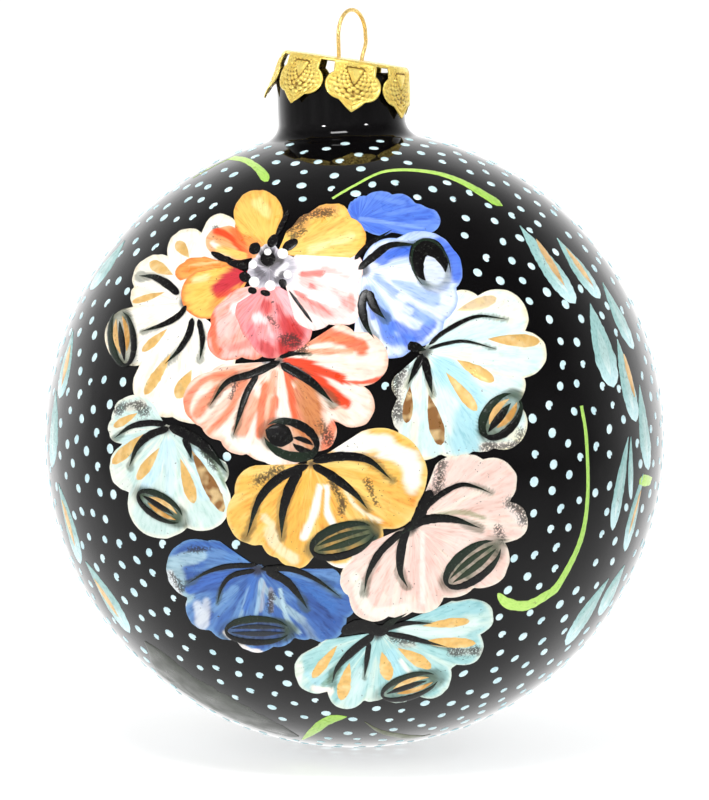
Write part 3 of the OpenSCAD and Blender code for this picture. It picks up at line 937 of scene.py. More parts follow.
def flower_colours(flower, points, angles, reach, share):
    """Mixes a flower's ground, its rim and its washes at every point of its mesh."""
    away = np.concatenate([[0.0], np.tile(reach, len(share)) * np.repeat(share, len(reach))])
    edge = np.concatenate([[9.0], np.tile(reach, len(share)) * (1 - np.repeat(share, len(reach)))])
    turn = np.concatenate([[0.0], np.tile(angles, len(share))])
    way = np.column_stack([np.cos(turn), np.sin(turn)])
    number = sum(map(ord, flower["name"]))
    streak = value_noise(np.column_stack([way * 9.0, away * 0.16]), number)
    fine = value_noise(np.column_stack([way * 26.0, away * 0.3]), number + 1)
    cloud = value_noise(points * 0.55 + 40, number + 2)
    colour = np.ones((len(points), 3)) * linear(flower["ground"])
    tone = 0.5 * streak + 0.3 * fine + 0.2 * cloud
    colour = covered(colour, flower["rim"], 0.6 * smooth_step(tone, 0.5, 0.72))
    deep = (0.5 * (1 - smooth_step(tone, 0.3, 0.48)))[:, None]
    colour = colour * (1 - deep) + colour**1.5 * deep
    colour = covered(colour, flower["rim"], (1 - smooth_step(edge, 0.1, 0.75 + 0.5 * cloud)) * 0.8)
    for code, strength, width, path in flower["washes"]:
        gap, _ = along_path(points, curve_through(path, 6))
        gap = gap / (width / 2) + 0.75 * (streak - 0.5) + 0.35 * (fine - 0.5) + 0.35 * (cloud - 0.5)
        colour = covered(colour, code, strength * (1 - smooth_step(gap, 0.55, 1.25)))
    dust = np.zeros(len(points))
    for width, path in flower.get("dust", []):
        gap, _ = along_path(points, curve_through(path, 6))
        dust = np.maximum(dust, 1 - smooth_step(gap / (width / 2) + 0.8 * (cloud - 0.5), 0.2, 1.5))
    for width, path in flower.get("veins", []):
        gap, along = along_path(points, curve_through(path, 6))
        gap = gap / (width / 2) + 0.9 * (cloud - 0.5) + 0.5 * (fine - 0.5)
        cover = ((0.2 + 0.45 * along) * (1 - smooth_step(gap, 0.8, 1.25)))[:, None]
        shade = covered(np.array(linear("2A2A26")), "3A4C32", along)
        colour = colour * (1 - cover) + shade * cover
    if "seed" in flower:
        seed = flower["seed"]
        inside, halo = seed_shade(points, seed)
        tint = {"dark_orange": "C97838", "bell": "C9D2D8", "grey": "2E3A58"}.get(seed[0], "4A5C40")
        colour = covered(colour, tint, inside * (0.7 + 0.6 * (cloud - 0.5)))
        colour = covered(colour, "33442E", halo * (0.65 + 0.8 * (cloud - 0.5)))
    if flower.get("veins"):
        colour = covered(colour, "2A2527", 0.85 * (1 - smooth_step(away + 1.2 * (cloud - 0.5), 0.5, 1.5)))
    return np.column_stack([np.clip(colour * (0.88 + 0.1 * streak + 0.12 * fine)[:, None], 0, 1), dust])


def paint_flower(flower, layer, material, turn=0.0, flip=False, spokes=220, rings=56):
    """One flower: a thin sheet of enamel that runs out from its calyx to its scalloped edge."""
    angles = np.linspace(0, 2 * math.pi, spokes, endpoint=False)
    calyx = np.array(flower["calyx"])
    reach = petal_edge(angles, calyx, flower["lobes"])
    seed = sum(map(ord, flower["name"]))
    wobble = value_noise(np.column_stack([np.cos(angles) * 14, np.sin(angles) * 14]), seed) - 0.5
    reach = reach + 0.25 * wobble
    share = 1 - (1 - np.arange(1, rings + 1) / rings) ** 1.15
    way = np.column_stack([np.cos(angles), np.sin(angles)])
    plane = (calyx + share[:, None, None] * reach[None, :, None] * way[None]).reshape(-1, 2)
    plane = np.concatenate([calyx[None], plane])
    edge = np.concatenate([[9.0], ((1 - share)[:, None] * reach[None, :]).ravel()])
    coat = FIRST_COAT + COAT * layer
    lift = np.where(edge < 0.001, -0.05, coat + 0.012 * np.exp(-(((edge - 0.3) / 0.25) ** 2)))
    colours = flower_colours(flower, plane, angles, reach, share)
    faces = []
    for k in range(spokes):
        faces.append((0, 1 + k, 1 + (k + 1) % spokes))
    for ring in range(rings - 1):
        for k in range(spokes):
            a, b = 1 + ring * spokes + k, 1 + ring * spokes + (k + 1) % spokes
            faces.append((a, a + spokes, b + spokes, b))
    placed = plane * np.array([-1.0, 1.0]) if flip else plane
    if flip:
        faces = [face[::-1] for face in faces]
    away = np.concatenate([[0.0], (share[:, None] * reach[None, :]).ravel()])
    rays = np.concatenate([[[0.0, 0.0]], np.tile(way, (rings, 1))])
    brush = np.column_stack([rays * 6.0, away * 0.12 + layer])
    side = "back_" if flip else ""
    return mesh_piece(
        side + flower["name"], to_frame(lay(placed, lift, turn)), faces, [material], colours, brush
    )


def fill_inputs(tree, node, inputs):
    """Links each input that is given a socket, and sets each that is given a value."""
    for key, value in inputs.items():
        if isinstance(value, bpy.types.NodeSocket):
            tree.links.new(value, node.inputs[key])
        else:
            node.inputs[key].default_value = value


def add_node(tree, kind, inputs=None, **settings):
    """Adds one node with its settings, and links or fills its inputs."""
    node = tree.nodes.new(kind)
    for key, value in settings.items():
        setattr(node, key, value)
    fill_inputs(tree, node, inputs or {})
    return node


def sums(tree, operation, *values):
    """A node that does one sum with sockets or numbers, as a socket."""
    return add_node(tree, "ShaderNodeMath", dict(enumerate(values)), operation=operation).outputs[0]


def stored(tree, name):
    """What the mesh has stored under a name, as a node's outputs."""
    return add_node(tree, "ShaderNodeAttribute", attribute_name=name).outputs


def new_material(name):
    """An empty material, with its tree, its shader and its coordinates in millimetres."""
    material = bpy.data.materials.new(name)
    material.use_nodes = True
    tree = material.node_tree
    tree.nodes.clear()
    shader = add_node(tree, "ShaderNodeBsdfPrincipled")
    add_node(tree, "ShaderNodeOutputMaterial", {"Surface": shader.outputs["BSDF"]})
    place = add_node(tree, "ShaderNodeTexCoord").outputs["Object"]
    mapping = add_node(tree, "ShaderNodeMapping", {"Vector": place, "Scale": (1000, 1000, 1000)})
    return material, tree, shader, mapping.outputs["Vector"]


def noise(tree, vector, spacing, detail=3.0):
    """Noise whose lumps are about `spacing` mm apart, as a socket from 0 to 1."""
    return add_node(
        tree, "ShaderNodeTexNoise", {"Vector": vector, "Scale": 1 / spacing, "Detail": detail}
    ).outputs["Fac"]


def ranged(tree, value, low, high, to_low, to_high):
    """Maps a value's range to another, held at both ends."""
    inputs = {"Value": value, "From Min": low, "From Max": high, "To Min": to_low, "To Max": to_high}
    return add_node(tree, "ShaderNodeMapRange", inputs).outputs["Result"]


def mixed(tree, share, first, second, blend="MIX"):
    """Mixes two colours, each a socket or four numbers."""
    inputs = {0: share, 6: first, 7: second}
    return add_node(tree, "ShaderNodeMix", inputs, data_type="RGBA", blend_type=blend).outputs[2]


def bumped(tree, height, millimetres, strength=1.0):
    """A normal that follows a height."""
    inputs = {"Height": height, "Distance": millimetres * MM, "Strength": strength}
    return add_node(tree, "ShaderNodeBump", inputs).outputs["Normal"]


def opaque(code):
    """A hex colour as the four numbers that a socket takes."""
    return (*linear(code), 1.0)


def black_glaze(code, roughness):
    """Blown soda-lime glass fired with a black glaze: a deep wet gloss that shows cloudy greys of the
    room in the middle and turns white towards the rim, with slow ripples from the blowing."""
    material, tree, shader, place = new_material("black_glazed_glass")
    clouds = noise(tree, place, 13.0, 2.0)
    ripple = sums(tree, "ADD", clouds, noise(tree, place, 4.0, 4.0))
    fill_inputs(tree, shader, {
        "Base Color": opaque(code),
        "IOR": 1.36,
        "Roughness": ranged(tree, clouds, 0.35, 0.7, roughness * 0.55, roughness * 1.9),
        "Normal": bumped(tree, ripple, 0.05, 0.5),
    })
    return material


def petal_enamel():
    """Opaque fired enamel, brushed on by hand: bright chalky colours in thin wet streaks that run out
    from the calyx, with tiny dark flecks, pin holes and a soft shine."""
    material, tree, shader, place = new_material("brushed_enamel")
    coat = stored(tree, "paint")
    paint = coat["Color"]
    hairs = noise(tree, stored(tree, "brush")["Vector"], 0.22, 3.0)
    body = mixed(tree, ranged(tree, hairs, 0.3, 0.75, 0.0, 0.4), paint, opaque("FFFFFF"), "SOFT_LIGHT")
    deep = mixed(tree, ranged(tree, hairs, 0.25, 0.48, 0.5, 0.0), body, paint, "MULTIPLY")
    grains = noise(tree, place, 0.42, 2.0)
    patches = noise(tree, place, 3.2, 2.0)
    dust = sums(tree, "ADD", grains, ranged(tree, patches, 0.4, 0.75, -0.06, 0.085))
    fleck = ranged(tree, dust, 0.715, 0.75, 0.0, 0.8)
    specked = mixed(tree, fleck, deep, opaque("2B2622"))
    thick = sums(tree, "MULTIPLY_ADD", coat["Alpha"], 0.2, noise(tree, place, 0.3, 3.0))
    spread = sums(tree, "MULTIPLY", ranged(tree, thick, 0.6, 0.66, 0.0, 0.85), coat["Alpha"])
    fill_inputs(tree, shader, {
        "Base Color": mixed(tree, spread, specked, opaque("241F1B")),
        "Roughness": ranged(tree, patches, 0.3, 0.7, 0.24, 0.42),
        "Normal": bumped(tree, hairs, 0.03, 0.6),
        "IOR": 1.5,
    })
    return material


def black_enamel():
    """Black line enamel, laid thick with a pointed brush: near black and glossy, and thin and
    greenish where the brush lifts off."""
    material, tree, shader, place = new_material("black_line_enamel")
    thin = noise(tree, place, 0.5, 3.0)
    lifted = ranged(tree, thin, 0.5, 0.8, 0.0, 0.3)
    fill_inputs(tree, shader, {
        "Base Color": mixed(tree, lifted, stored(tree, "paint")["Color"], opaque("343A30")),
        "Roughness": ranged(tree, thin, 0.3, 0.7, 0.16, 0.3),
        "Normal": bumped(tree, thin, 0.01, 0.4),
        "IOR": 1.4,
    })
    return material


def gold_lustre():
    """Liquid bright gold, fired thin over the enamel: a warm metal that goes from pale gold, where
    highlights are painted in soft patches, to brown in worn patches."""
    material, tree, shader, place = new_material("gold_lustre")
    wear = noise(tree, place, 0.9, 4.0)
    # Painted highlight: soft patches of the gold are mixed towards pale gold.
    painted_highlight = ranged(tree, noise(tree, place, 1.7, 1.0), 0.48, 0.68, 0.0, 0.7)
    gilt = mixed(tree, painted_highlight, stored(tree, "paint")["Color"], opaque("FFE2A6"))
    fill_inputs(tree, shader, {
        "Base Color": mixed(tree, ranged(tree, wear, 0.5, 0.8, 0.0, 0.35), gilt, opaque("A8722E")),
        "Metallic": 0.3,
        "Roughness": ranged(tree, wear, 0.3, 0.7, 0.26, 0.46),
        "Normal": bumped(tree, wear, 0.02, 0.4),
    })
    return material


def dot_enamel(code):
    """Raised white enamel dots tinted pale blue: soft rounded drops with a wet shine."""
    material, tree, shader, place = new_material("raised_dot_enamel")
    tint = ranged(tree, noise(tree, place, 2.5, 2.0), 0.35, 0.7, 0.0, 0.6)
    fill_inputs(tree, shader, {
        "Base Color": mixed(tree, tint, opaque(code), opaque("A9D6E0")),
        "Roughness": 0.3,
    })
    return material


def pressed_brass():
    """Thin brass sheet, stamped and gilt: bright yellow ridges, with painted shade in brown in the stamped
    hollows.
    """
    material, tree, shader, place = new_material("pressed_gilt_brass")
    stain = noise(tree, place, 1.6, 4.0)
    gilt = mixed(tree, ranged(tree, stain, 0.35, 0.7, 0.0, 0.5), opaque("FFE57C"), opaque("F3C450"))
    # Painted shade: the stamped hollows and pits are darkened to brown.
    hollow = ranged(tree, stored(tree, "press")["Fac"], -0.15, -0.03, 0.95, 0.0)
    fill_inputs(tree, shader, {
        "Base Color": mixed(tree, hollow, gilt, opaque("805812")),
        "Metallic": 0.5,
        "Roughness": ranged(tree, stain, 0.3, 0.7, 0.2, 0.36),
        "Normal": bumped(tree, noise(tree, place, 0.12, 2.0), 0.012, 0.6),
    })
    return material


def drawn_brass():
    """Hard-drawn brass wire: smooth and bright, with faint draw lines and brown spots of tarnish."""
    material, tree, shader, place = new_material("drawn_brass_wire")
    spots = noise(tree, place, 1.1, 4.0)
    tarnish = ranged(tree, spots, 0.5, 0.8, 0.0, 0.4)
    fill_inputs(tree, shader, {
        "Base Color": mixed(tree, tarnish, opaque("FFDB8A"), opaque("B4823A")),
        "Metallic": 0.55,
        "Roughness": ranged(tree, spots, 0.3, 0.7, 0.2, 0.34),
        "Normal": bumped(tree, noise(tree, place, 0.1, 2.0), 0.003, 0.4),
    })
    return material


def studio_board():
    """Matt white laminate board, lit evenly from below: an even white, with no sheen."""
    material, tree, shader, place = new_material("white_laminate_board")
    fill_inputs(tree, shader, {
        "Base Color": mixed(tree, noise(tree, place, 30.0, 2.0), opaque("F7F7F7"), opaque("FBFBFB")),
        "Roughness": 0.6,
        "Specular IOR Level": 0.2,
        "Emission Color": opaque("FFFFFF"),
        "Emission Strength": 0.64,
    })
    return material


def lathe(profile, segments):
    """Turns an outline of (radius, height) points into closed rings about the upright."""
    points, faces, rings = [], [], []
    for radius, height in profile:
        if radius < 1e-6:
            rings.append([len(points)])
            points.append((0, 0, height))
            continue
        rings.append(list(range(len(points), len(points) + segments)))
        for k in range(segments):
            turn = 2 * math.pi * k / segments
            points.append((radius * math.cos(turn), radius * math.sin(turn), height))
    for low, high in zip(rings[:-1], rings[1:]):
        for k in range(segments):
            n = (k + 1) % segments
            if len(low) == 1:
                faces.append((low[0], high[n], high[k]))
            elif len(high) == 1:
                faces.append((low[k], low[n], high[0]))
            else:
                faces.append((low[k], low[n], high[n], high[k]))
    return np.array(points, float), faces


def arc(centre, radius, start, end, steps):
    """Points of an arc, with its angles in degrees."""
    turns = np.radians(np.linspace(start, end, steps))
    return [(centre[0] + radius * math.cos(t), centre[1] + radius * math.sin(t)) for t in turns]


def glaze_outline():
    """The ball's outside, the hollow round under the neck, the neck, its lip, and the inside wall."""
    hollow, lip = 3.0, 0.7
    hollow_r = NECK_R + hollow
    hollow_h = math.sqrt((GLAZE_R + hollow) ** 2 - hollow_r**2)
    meet = math.degrees(math.atan2(hollow_h, hollow_r))
    outline = arc((0, 0), GLAZE_R, -90, meet, 110)
    outline[0] = (0.0, -GLAZE_R)
    outline += arc((hollow_r, hollow_h), hollow, 180 + meet, 180, 10)[1:]
    outline += [(NECK_R, hollow_h + (RIM_H - lip - hollow_h) * t) for t in (0.35, 0.7)]
    outline += arc((NECK_R - lip, RIM_H - lip), lip, 0, 180, 13)
    inner_r = BALL_R - WALL
    inner_turn = math.degrees(math.acos(BORE_R / inner_r))
    outline += [(BORE_R, 55.0), (BORE_R, 51.5)]
    outline += arc((0, 0), inner_r, inner_turn, -90, 60)
    outline[-1] = (0.0, -inner_r)
    return outline


def petal_half_width(depth):
    """Half the width of a cap petal at a depth below the top: a strap, two side lobes and a tip."""
    strap = np.where(depth < 4.0, 3.3, 0.0)
    lobe = 2.3 + np.sqrt(np.maximum(2.1**2 - (depth - 4.05) ** 2, 0.0))
    lobe = np.where(np.abs(depth - 4.05) < 2.1, lobe, 0.0)
    tip = 2.75 * (1 - np.clip((depth - 5.3) / 2.75, 0, 1) ** 1.35)
    return np.maximum(np.maximum(np.maximum(strap, lobe), tip), 0.05)


def press_height(across, depth, half):
    """How far the stamp raises a cap petal: a border, a row of beads, a fan of beads, a triangle and pits."""
    side = half - np.abs(across)
    edge = np.minimum(side, (7.95 - depth) * 0.8)
    border = 0.12 * np.exp(-(((edge - 0.22) / 0.2) ** 2))
    row = 0.26 * np.exp(-(((edge - 0.78) / 0.24) ** 2))
    beads = row * (np.sin(depth * 4.4 + np.abs(across) * 2.6) ** 2 - 0.6)
    field = smooth_step(edge, 1.1, 1.35)
    fan = np.hypot(across, depth - 1.0)
    ring = np.arctan2(across, depth - 1.0) * 17
    grain = field * 0.16 * (np.cos(fan * 7.4) * np.cos(ring) - 0.4)
    width = np.clip(1.35 - (depth - 1.5) * 0.56, 0, 1.35)
    inside = np.minimum(width - np.abs(across), np.minimum(depth - 1.2, 3.9 - depth))
    triangle = 0.13 * smooth_step(inside, 0.0, 0.3)
    groove = -0.24 * np.exp(-(((inside + 0.02) / 0.2) ** 2))
    pits = 0.0
    for place in (-1.15, 0.0, 1.15):
        gap = np.hypot(across - place, (depth - 4.7 - 0.45 * (place == 0)) * 0.85)
        pits = pits - 0.26 * np.exp(-((gap / 0.26) ** 2))
    near_top = smooth_step(depth, 0.5, 1.1)
    return (border + beads + np.where(inside > -0.1, 0.0, grain) + triangle + groove + pits) * near_top


def cap_petal(slope, rows=70, columns=54):
    """One pressed petal at the front of the cap, before it is turned to its place."""
    bend_r, bend_at = 0.62, 9.5
    bend = math.radians(90 - slope)
    lean = math.radians(slope)
    straight = (8.05 - 0.8 + bend_r * math.sin(lean)) / math.cos(lean)
    run = np.r_[np.linspace(0, bend_r * bend, 9)[:-1], bend_r * bend + np.linspace(0, straight, rows - 8)]
    turn = np.minimum(run / bend_r, bend)
    past = np.maximum(run - bend_r * bend, 0)
    radius = bend_at + bend_r * np.sin(turn) + past * math.sin(lean)
    depth = 0.8 - bend_r * np.cos(turn) + past * math.cos(lean)
    half = petal_half_width(depth)
    share = np.linspace(-1, 1, columns)
    across = half[:, None] * share[None, :]
    rise = press_height(across, depth[:, None] * np.ones_like(across), half[:, None])
    out = -np.sqrt(np.maximum(radius[:, None] ** 2 - across**2, 1.0))
    ring = radius[:, None]
    x = across + rise * np.sin(turn)[:, None] * across / ring
    y = out + rise * np.sin(turn)[:, None] * out / ring
    z = -depth[:, None] + rise * np.cos(turn)[:, None]
    points = np.stack([x, y, z], axis=2).reshape(-1, 3)
    return points, grid_faces(rows, columns), rise.ravel()


def cap_place(points):
    """Puts what is built about the middle of the cap's top where the cap sits."""
    return to_frame(turn_y(points, CAP_TILT) + np.array(CAP_CENTRE))


def shown_mesh(piece, name):
    """The mesh that a piece's modifiers show, as a mesh of its own."""
    evaluated = piece.evaluated_get(bpy.context.evaluated_depsgraph_get())
    mesh = bpy.data.meshes.new_from_object(evaluated)
    mesh.name = name
    return mesh


def apply_modifiers(piece):
    """Makes a piece's mesh what its modifiers show, and removes them."""
    mesh = shown_mesh(piece, piece.name)
    piece.modifiers.clear()
    piece.data = mesh


def join_pieces(name, pieces):
    """Joins pieces that lie at the origin into one, and keeps their attributes."""
    with bpy.context.temp_override(active_object=pieces[0], selected_editable_objects=pieces):
        bpy.ops.object.join()
    pieces[0].name = name
    pieces[0].data.name = name
    return pieces[0]


def rounded_path(corners, reach):
    """A line through its corners, with each corner rounded from `reach` mm before it to `reach` mm after."""
    path = [np.array(corners[0], float)]
    for before, corner, after in zip(corners[:-2], corners[1:-1], corners[2:]):
        before, corner, after = (np.array(p, float) for p in (before, corner, after))
        back = (before - corner) / max(np.linalg.norm(before - corner), 1e-9)
        on = (after - corner) / max(np.linalg.norm(after - corner), 1e-9)
        cut = min(reach, 0.45 * np.linalg.norm(before - corner), 0.45 * np.linalg.norm(after - corner))
        start, end = corner + back * cut, corner + on * cut
        for t in np.linspace(0, 1, 7):
            path.append((1 - t) ** 2 * start + 2 * t * (1 - t) * corner + t * t * end)
    path.append(np.array(corners[-1], float))
    return path


def wire_path():
    """The hanger's line in its own upright plane, as (across, height): toe, leg, loop, leg, toe."""
    left = [(-7.025, 34.453), (-7.825, 36.953), (-LEG_X, 56.953), (-LEG_X, 61.55), (-3.65, 64.4)]
    loop = arc((0.45, 64.628), 4.1, 180, 0, 25)
    right = [(4.7, 63.5), (4.1, 62.2), (LEG_X, 61.1), (LEG_X, 56.953), (6.425, 36.953), (5.625, 34.453)]
    return rounded_path(left + loop + right, 1.1)


def new_tree(name, sockets):
    """A Geometry Nodes tree with named inputs, each (name, socket kind)."""
    tree = bpy.data.node_groups.new(name, "GeometryNodeTree")
    tree.interface.new_socket(name="Geometry", in_out="INPUT", socket_type="NodeSocketGeometry")
    for label, kind in sockets:
        tree.interface.new_socket(name=label, in_out="INPUT", socket_type=kind)
    tree.interface.new_socket(name="Geometry", in_out="OUTPUT", socket_type="NodeSocketGeometry")
    return tree, tree.nodes.new("NodeGroupInput").outputs


def grow(name, tree, values, source=None):
    """Runs a Geometry Nodes tree once on a new object, and keeps only the mesh that it makes."""
    data = source or bpy.data.meshes.new(name + "_seed")
    holder = add_object(name + "_seed", data)
    modifier = holder.modifiers.new(name, "NODES")
    modifier.node_group = tree
    for item in tree.interface.items_tree:
        if item.in_out == "INPUT" and item.name in values:
            modifier[item.identifier] = values[item.name]
    mesh = shown_mesh(holder, name)
    bpy.data.objects.remove(holder)
    return add_object(name, mesh)


def geometry_of(tree, named):
    """The geometry of the object that an input names."""
    return add_node(tree, "GeometryNodeObjectInfo", {"Object": named}).outputs["Geometry"]


def vector_sum(tree, operation, inputs):
    """A node that does one sum with vectors, as a socket."""
    return add_node(tree, "ShaderNodeVectorMath", inputs, operation=operation).outputs[0]


def end_tree(tree, geometry, material):
    """Makes all instances real, gives them their material and ends the tree."""
    real = add_node(tree, "GeometryNodeRealizeInstances", {"Geometry": geometry}).outputs["Geometry"]
    finish = add_node(tree, "GeometryNodeSetMaterial", {"Geometry": real, "Material": material})
    add_node(tree, "NodeGroupOutput", {"Geometry": finish.outputs["Geometry"]})
    return tree


def wire_tree():
    """Sweeps a round section along the hanger's line and closes both ends."""
    sockets = [("Wire radius", "NodeSocketFloat"), ("Brass", "NodeSocketMaterial")]
    tree, given = new_tree("swept_wire", sockets)
    section = {"Resolution": 16, "Radius": given["Wire radius"]}
    ring = add_node(tree, "GeometryNodeCurvePrimitiveCircle", section)
    sweep = add_node(tree, "GeometryNodeCurveToMesh", {
        "Curve": given["Geometry"], "Profile Curve": ring.outputs["Curve"], "Fill Caps": True,
    })
    smooth = add_node(tree, "GeometryNodeSetShadeSmooth", {
        "Geometry": sweep.outputs["Mesh"], "Shade Smooth": True,
    })
    return end_tree(tree, smooth.outputs["Geometry"], given["Brass"])


def dots_tree():
    """Scatters dots evenly over the glaze, clear of the painting, each round or bitten at one side."""
    tree, given = new_tree("scattered_dots", [
        ("Glaze", "NodeSocketObject"), ("Painting", "NodeSocketObject"), ("Round dot", "NodeSocketObject"),
        ("Bitten dot", "NodeSocketObject"), ("Spacing", "NodeSocketFloat"), ("Size", "NodeSocketFloat"),
        ("Clearance", "NodeSocketFloat"), ("Seed", "NodeSocketInt"), ("Enamel", "NodeSocketMaterial"),
    ])
    spread = add_node(tree, "GeometryNodeDistributePointsOnFaces", {
        "Mesh": geometry_of(tree, given["Glaze"]), "Distance Min": given["Spacing"], "Density Max": 1.5e6,
        "Seed": given["Seed"],
    }, distribute_method="POISSON")
    painting = geometry_of(tree, given["Painting"])
    near = add_node(tree, "GeometryNodeProximity", {0: painting}, target_element="FACES")
    covered_by_paint = add_node(tree, "FunctionNodeCompare", {
        0: near.outputs["Distance"], 1: given["Clearance"],
    }, data_type="FLOAT", operation="LESS_THAN")
    clear = add_node(tree, "GeometryNodeDeleteGeometry", {
        "Geometry": spread.outputs["Points"], "Selection": covered_by_paint.outputs["Result"],
    }, domain="POINT")
    together = add_node(tree, "GeometryNodeJoinGeometry")
    for label in ("Round dot", "Round dot", "Bitten dot"):
        kind = add_node(tree, "GeometryNodeGeometryToInstance", {"Geometry": geometry_of(tree, given[label])})
        tree.links.new(kind.outputs["Instances"], together.inputs["Geometry"])
    position = add_node(tree, "GeometryNodeInputPosition").outputs["Position"]
    outward = vector_sum(tree, "SUBTRACT", {0: position, 1: tuple(CENTRE)})
    aside = vector_sum(tree, "CROSS_PRODUCT", {0: (0.0, 0.0, 1.0), 1: outward})
    unit = vector_sum(tree, "NORMALIZE", {0: aside})
    down = vector_sum(tree, "ADD", {0: unit, 1: (0.0, 0.0, -0.8)})
    stand = add_node(tree, "FunctionNodeAlignRotationToVector", {"Vector": outward}, axis="Z")
    face = add_node(tree, "FunctionNodeAlignRotationToVector", {
        "Rotation": stand.outputs["Rotation"], "Vector": down,
    }, axis="X", pivot_axis="Z")
    pick = add_node(tree, "FunctionNodeRandomValue", {4: 0, 5: 2, "Seed": 5}, data_type="INT")
    stretch = add_node(tree, "FunctionNodeRandomValue", {
        0: (0.82, 0.82, 0.9), 1: (1.16, 1.16, 1.1), "Seed": 9,
    }, data_type="FLOAT_VECTOR")
    sized = vector_sum(tree, "SCALE", {0: stretch.outputs["Value"], "Scale": given["Size"]})
    placed = add_node(tree, "GeometryNodeInstanceOnPoints", {
        "Points": clear.outputs["Geometry"], "Instance": together.outputs["Geometry"], "Pick Instance": True,
        "Instance Index": pick.outputs[2], "Rotation": face.outputs["Rotation"], "Scale": sized,
    })
    return end_tree(tree, placed.outputs["Instances"], given["Enamel"])


def dot_shape(name, bite):
    """A low dome of unit radius, with an optional bite out of its +X side."""
    sides = 10
    points, faces = [(0.0, 0.0, 0.2)], []
    for radius, height in ((0.45, 0.18), (0.85, 0.09), (1.0, -0.06)):
        for k in range(sides):
            turn = 2 * math.pi * k / sides
            cut = 1 - bite * math.exp(-((min(turn, 2 * math.pi - turn) / 0.55) ** 2))
            points.append((radius * cut * math.cos(turn), radius * cut * math.sin(turn), height))
    for k in range(sides):
        n = (k + 1) % sides
        faces.append((0, 1 + k, 1 + n))
        for ring in range(2):
            a, b = 1 + ring * sides + k, 1 + ring * sides + n
            faces.append((a, a + sides, b + sides, b))
    return mesh_piece(name, np.array(points), faces, [])


def copy_joined(name, pieces):
    """A plain copy of several pieces as one object, for measuring against."""
    bm = bmesh.new()
    for piece in pieces:
        bm.from_mesh(piece.data)
    mesh = bpy.data.meshes.new(name)
    bm.to_mesh(mesh)
    bm.free()
    return add_object(name, mesh)


def claim(piece, body, slot, *nodes):
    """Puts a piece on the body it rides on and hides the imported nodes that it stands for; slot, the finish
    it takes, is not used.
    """
    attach(piece, body)
    if nodes:
        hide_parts(*nodes)


def colour_setting(label, meaning, default):
    """A colour that the panel shows."""
    return bpy.props.FloatVectorProperty(
        name=label, description=meaning, subtype="COLOR_GAMMA", size=3, min=0, max=1, default=default,
    )


def length_setting(label, meaning, default, least, most):
    """A length that the panel shows, given here in mm."""
    return bpy.props.FloatProperty(
        name=label, description=meaning, default=default * MM, min=least * MM, max=most * MM,
        unit="LENGTH", precision=5,
    )


def power_setting(label, meaning, default, most):
    """A lamp's power in watts."""
    return bpy.props.FloatProperty(
        name=label, description=meaning, default=default, min=0, max=most, unit="POWER",
    )


class BallSettings(bpy.types.PropertyGroup):
    """Sizes and colours of the glazed ball and its dots."""

    glaze: colour_setting("Glaze", "Colour of the black glaze", (0.035, 0.032, 0.036))
    gloss: bpy.props.FloatProperty(
        name="Roughness", description="Roughness of the glaze", default=0.045, min=0.01, max=0.5,
        subtype="FACTOR",
    )
    dots: colour_setting("Dots", "Colour of the raised dots", (0.87, 0.96, 0.975))
    dot_radius: length_setting("Dot radius", "Radius of a dot", 0.78, 0.3, 1.2)
    dot_spacing: length_setting("Dot spacing", "Least distance between two dots", 3.45, 2, 6)
    dot_clearance: length_setting(
        "Clearance", "Least distance from a dot's middle to the painting", 0.75, 0, 3,
    )
    dot_seed: bpy.props.IntProperty(name="Seed", description="Changes where the dots fall", default=7, min=0)


class HangerSettings(bpy.types.PropertyGroup):
    """Sizes of the cap and its wire."""

    wire_radius: length_setting("Wire radius", "Radius of the hanger's wire", 0.32, 0.2, 0.6)
    sheet: length_setting("Sheet", "Thickness of the cap's sheet", 0.3, 0.15, 0.6)


class StageSettings(bpy.types.PropertyGroup):
    """Strengths of the studio's light."""

    room: bpy.props.FloatProperty(
        name="Room", description="Strength of the white room", default=0.38, min=0, max=5,
    )
    window: power_setting("Soft box", "Power of the soft box over the front", 2.8, 100)
    spot: power_setting("Cap spots", "Power of each narrow lamp on the cap", 15.5, 50)
    fill: power_setting("Fill", "Power of each lamp at the sides", 1.9, 100)


class ORNAMENT_OT_ball(bpy.types.Operator):
    """Make the glazed glass ball with its neck and its inside wall"""

    bl_idname = "ornament.ball"
    bl_label = "Glazed Ball"

    def execute(self, context):
        settings = context.scene.ornament_ball
        points, faces = lathe(glaze_outline(), 192)
        glaze = black_glaze(srgb_code(settings.glaze), settings.gloss)
        piece = mesh_piece("black_glass_ball", to_frame(turn_y(points, -LEAN)), faces, [glaze])
        claim(piece, "ball", "black_glass", "ball_shell")
        return {"FINISHED"}


class ORNAMENT_OT_cap(bpy.types.Operator):
    """Make the pressed crown cap with its seven petals and two wire holes"""

    bl_idname = "ornament.cap"
    bl_label = "Crown Cap"

    def execute(self, context):
        sheet = context.scene.ornament_hanger.sheet
        brass = pressed_brass()
        parts = []
        for index in range(PETALS):
            points, faces, rise = cap_petal(OPEN_SLOPE if index == OPEN_PETAL else PETAL_SLOPE)
            points = turn_z(points, CAP_TURN + 2 * math.pi * index / PETALS)
            part = mesh_piece("cap_petal", cap_place(points), faces, [brass])
            store_press(part, rise)
            parts.append(part)
        outline = [(0.0, 0.05), (2.0, 0.06), (5.4, 0.06), (6.0, 0.0), (7.0, -0.03), (7.5, 0.08), (8.1, 0.1)]
        outline += [(8.6, 0.02), (9.2, 0.0), (9.62, -0.04), (9.86, -0.16), (9.98, -0.34)]
        points, faces = lathe([(r, h - 0.19) for r, h in outline[::-1]], 128)
        plate = mesh_piece("cap_top", cap_place(points), faces, [brass])
        store_press(plate, np.full(len(points), 0.05))
        parts.append(plate)
        for part in parts:
            skin = part.modifiers.new("sheet", "SOLIDIFY")
            skin.thickness = sheet
            skin.offset = 0.0
            apply_modifiers(part)
        bore_holes(plate)
        piece = join_pieces("pressed_crown_cap", parts)
        claim(piece, "cap", "pressed_cap", "crown_cap")
        return {"FINISHED"}


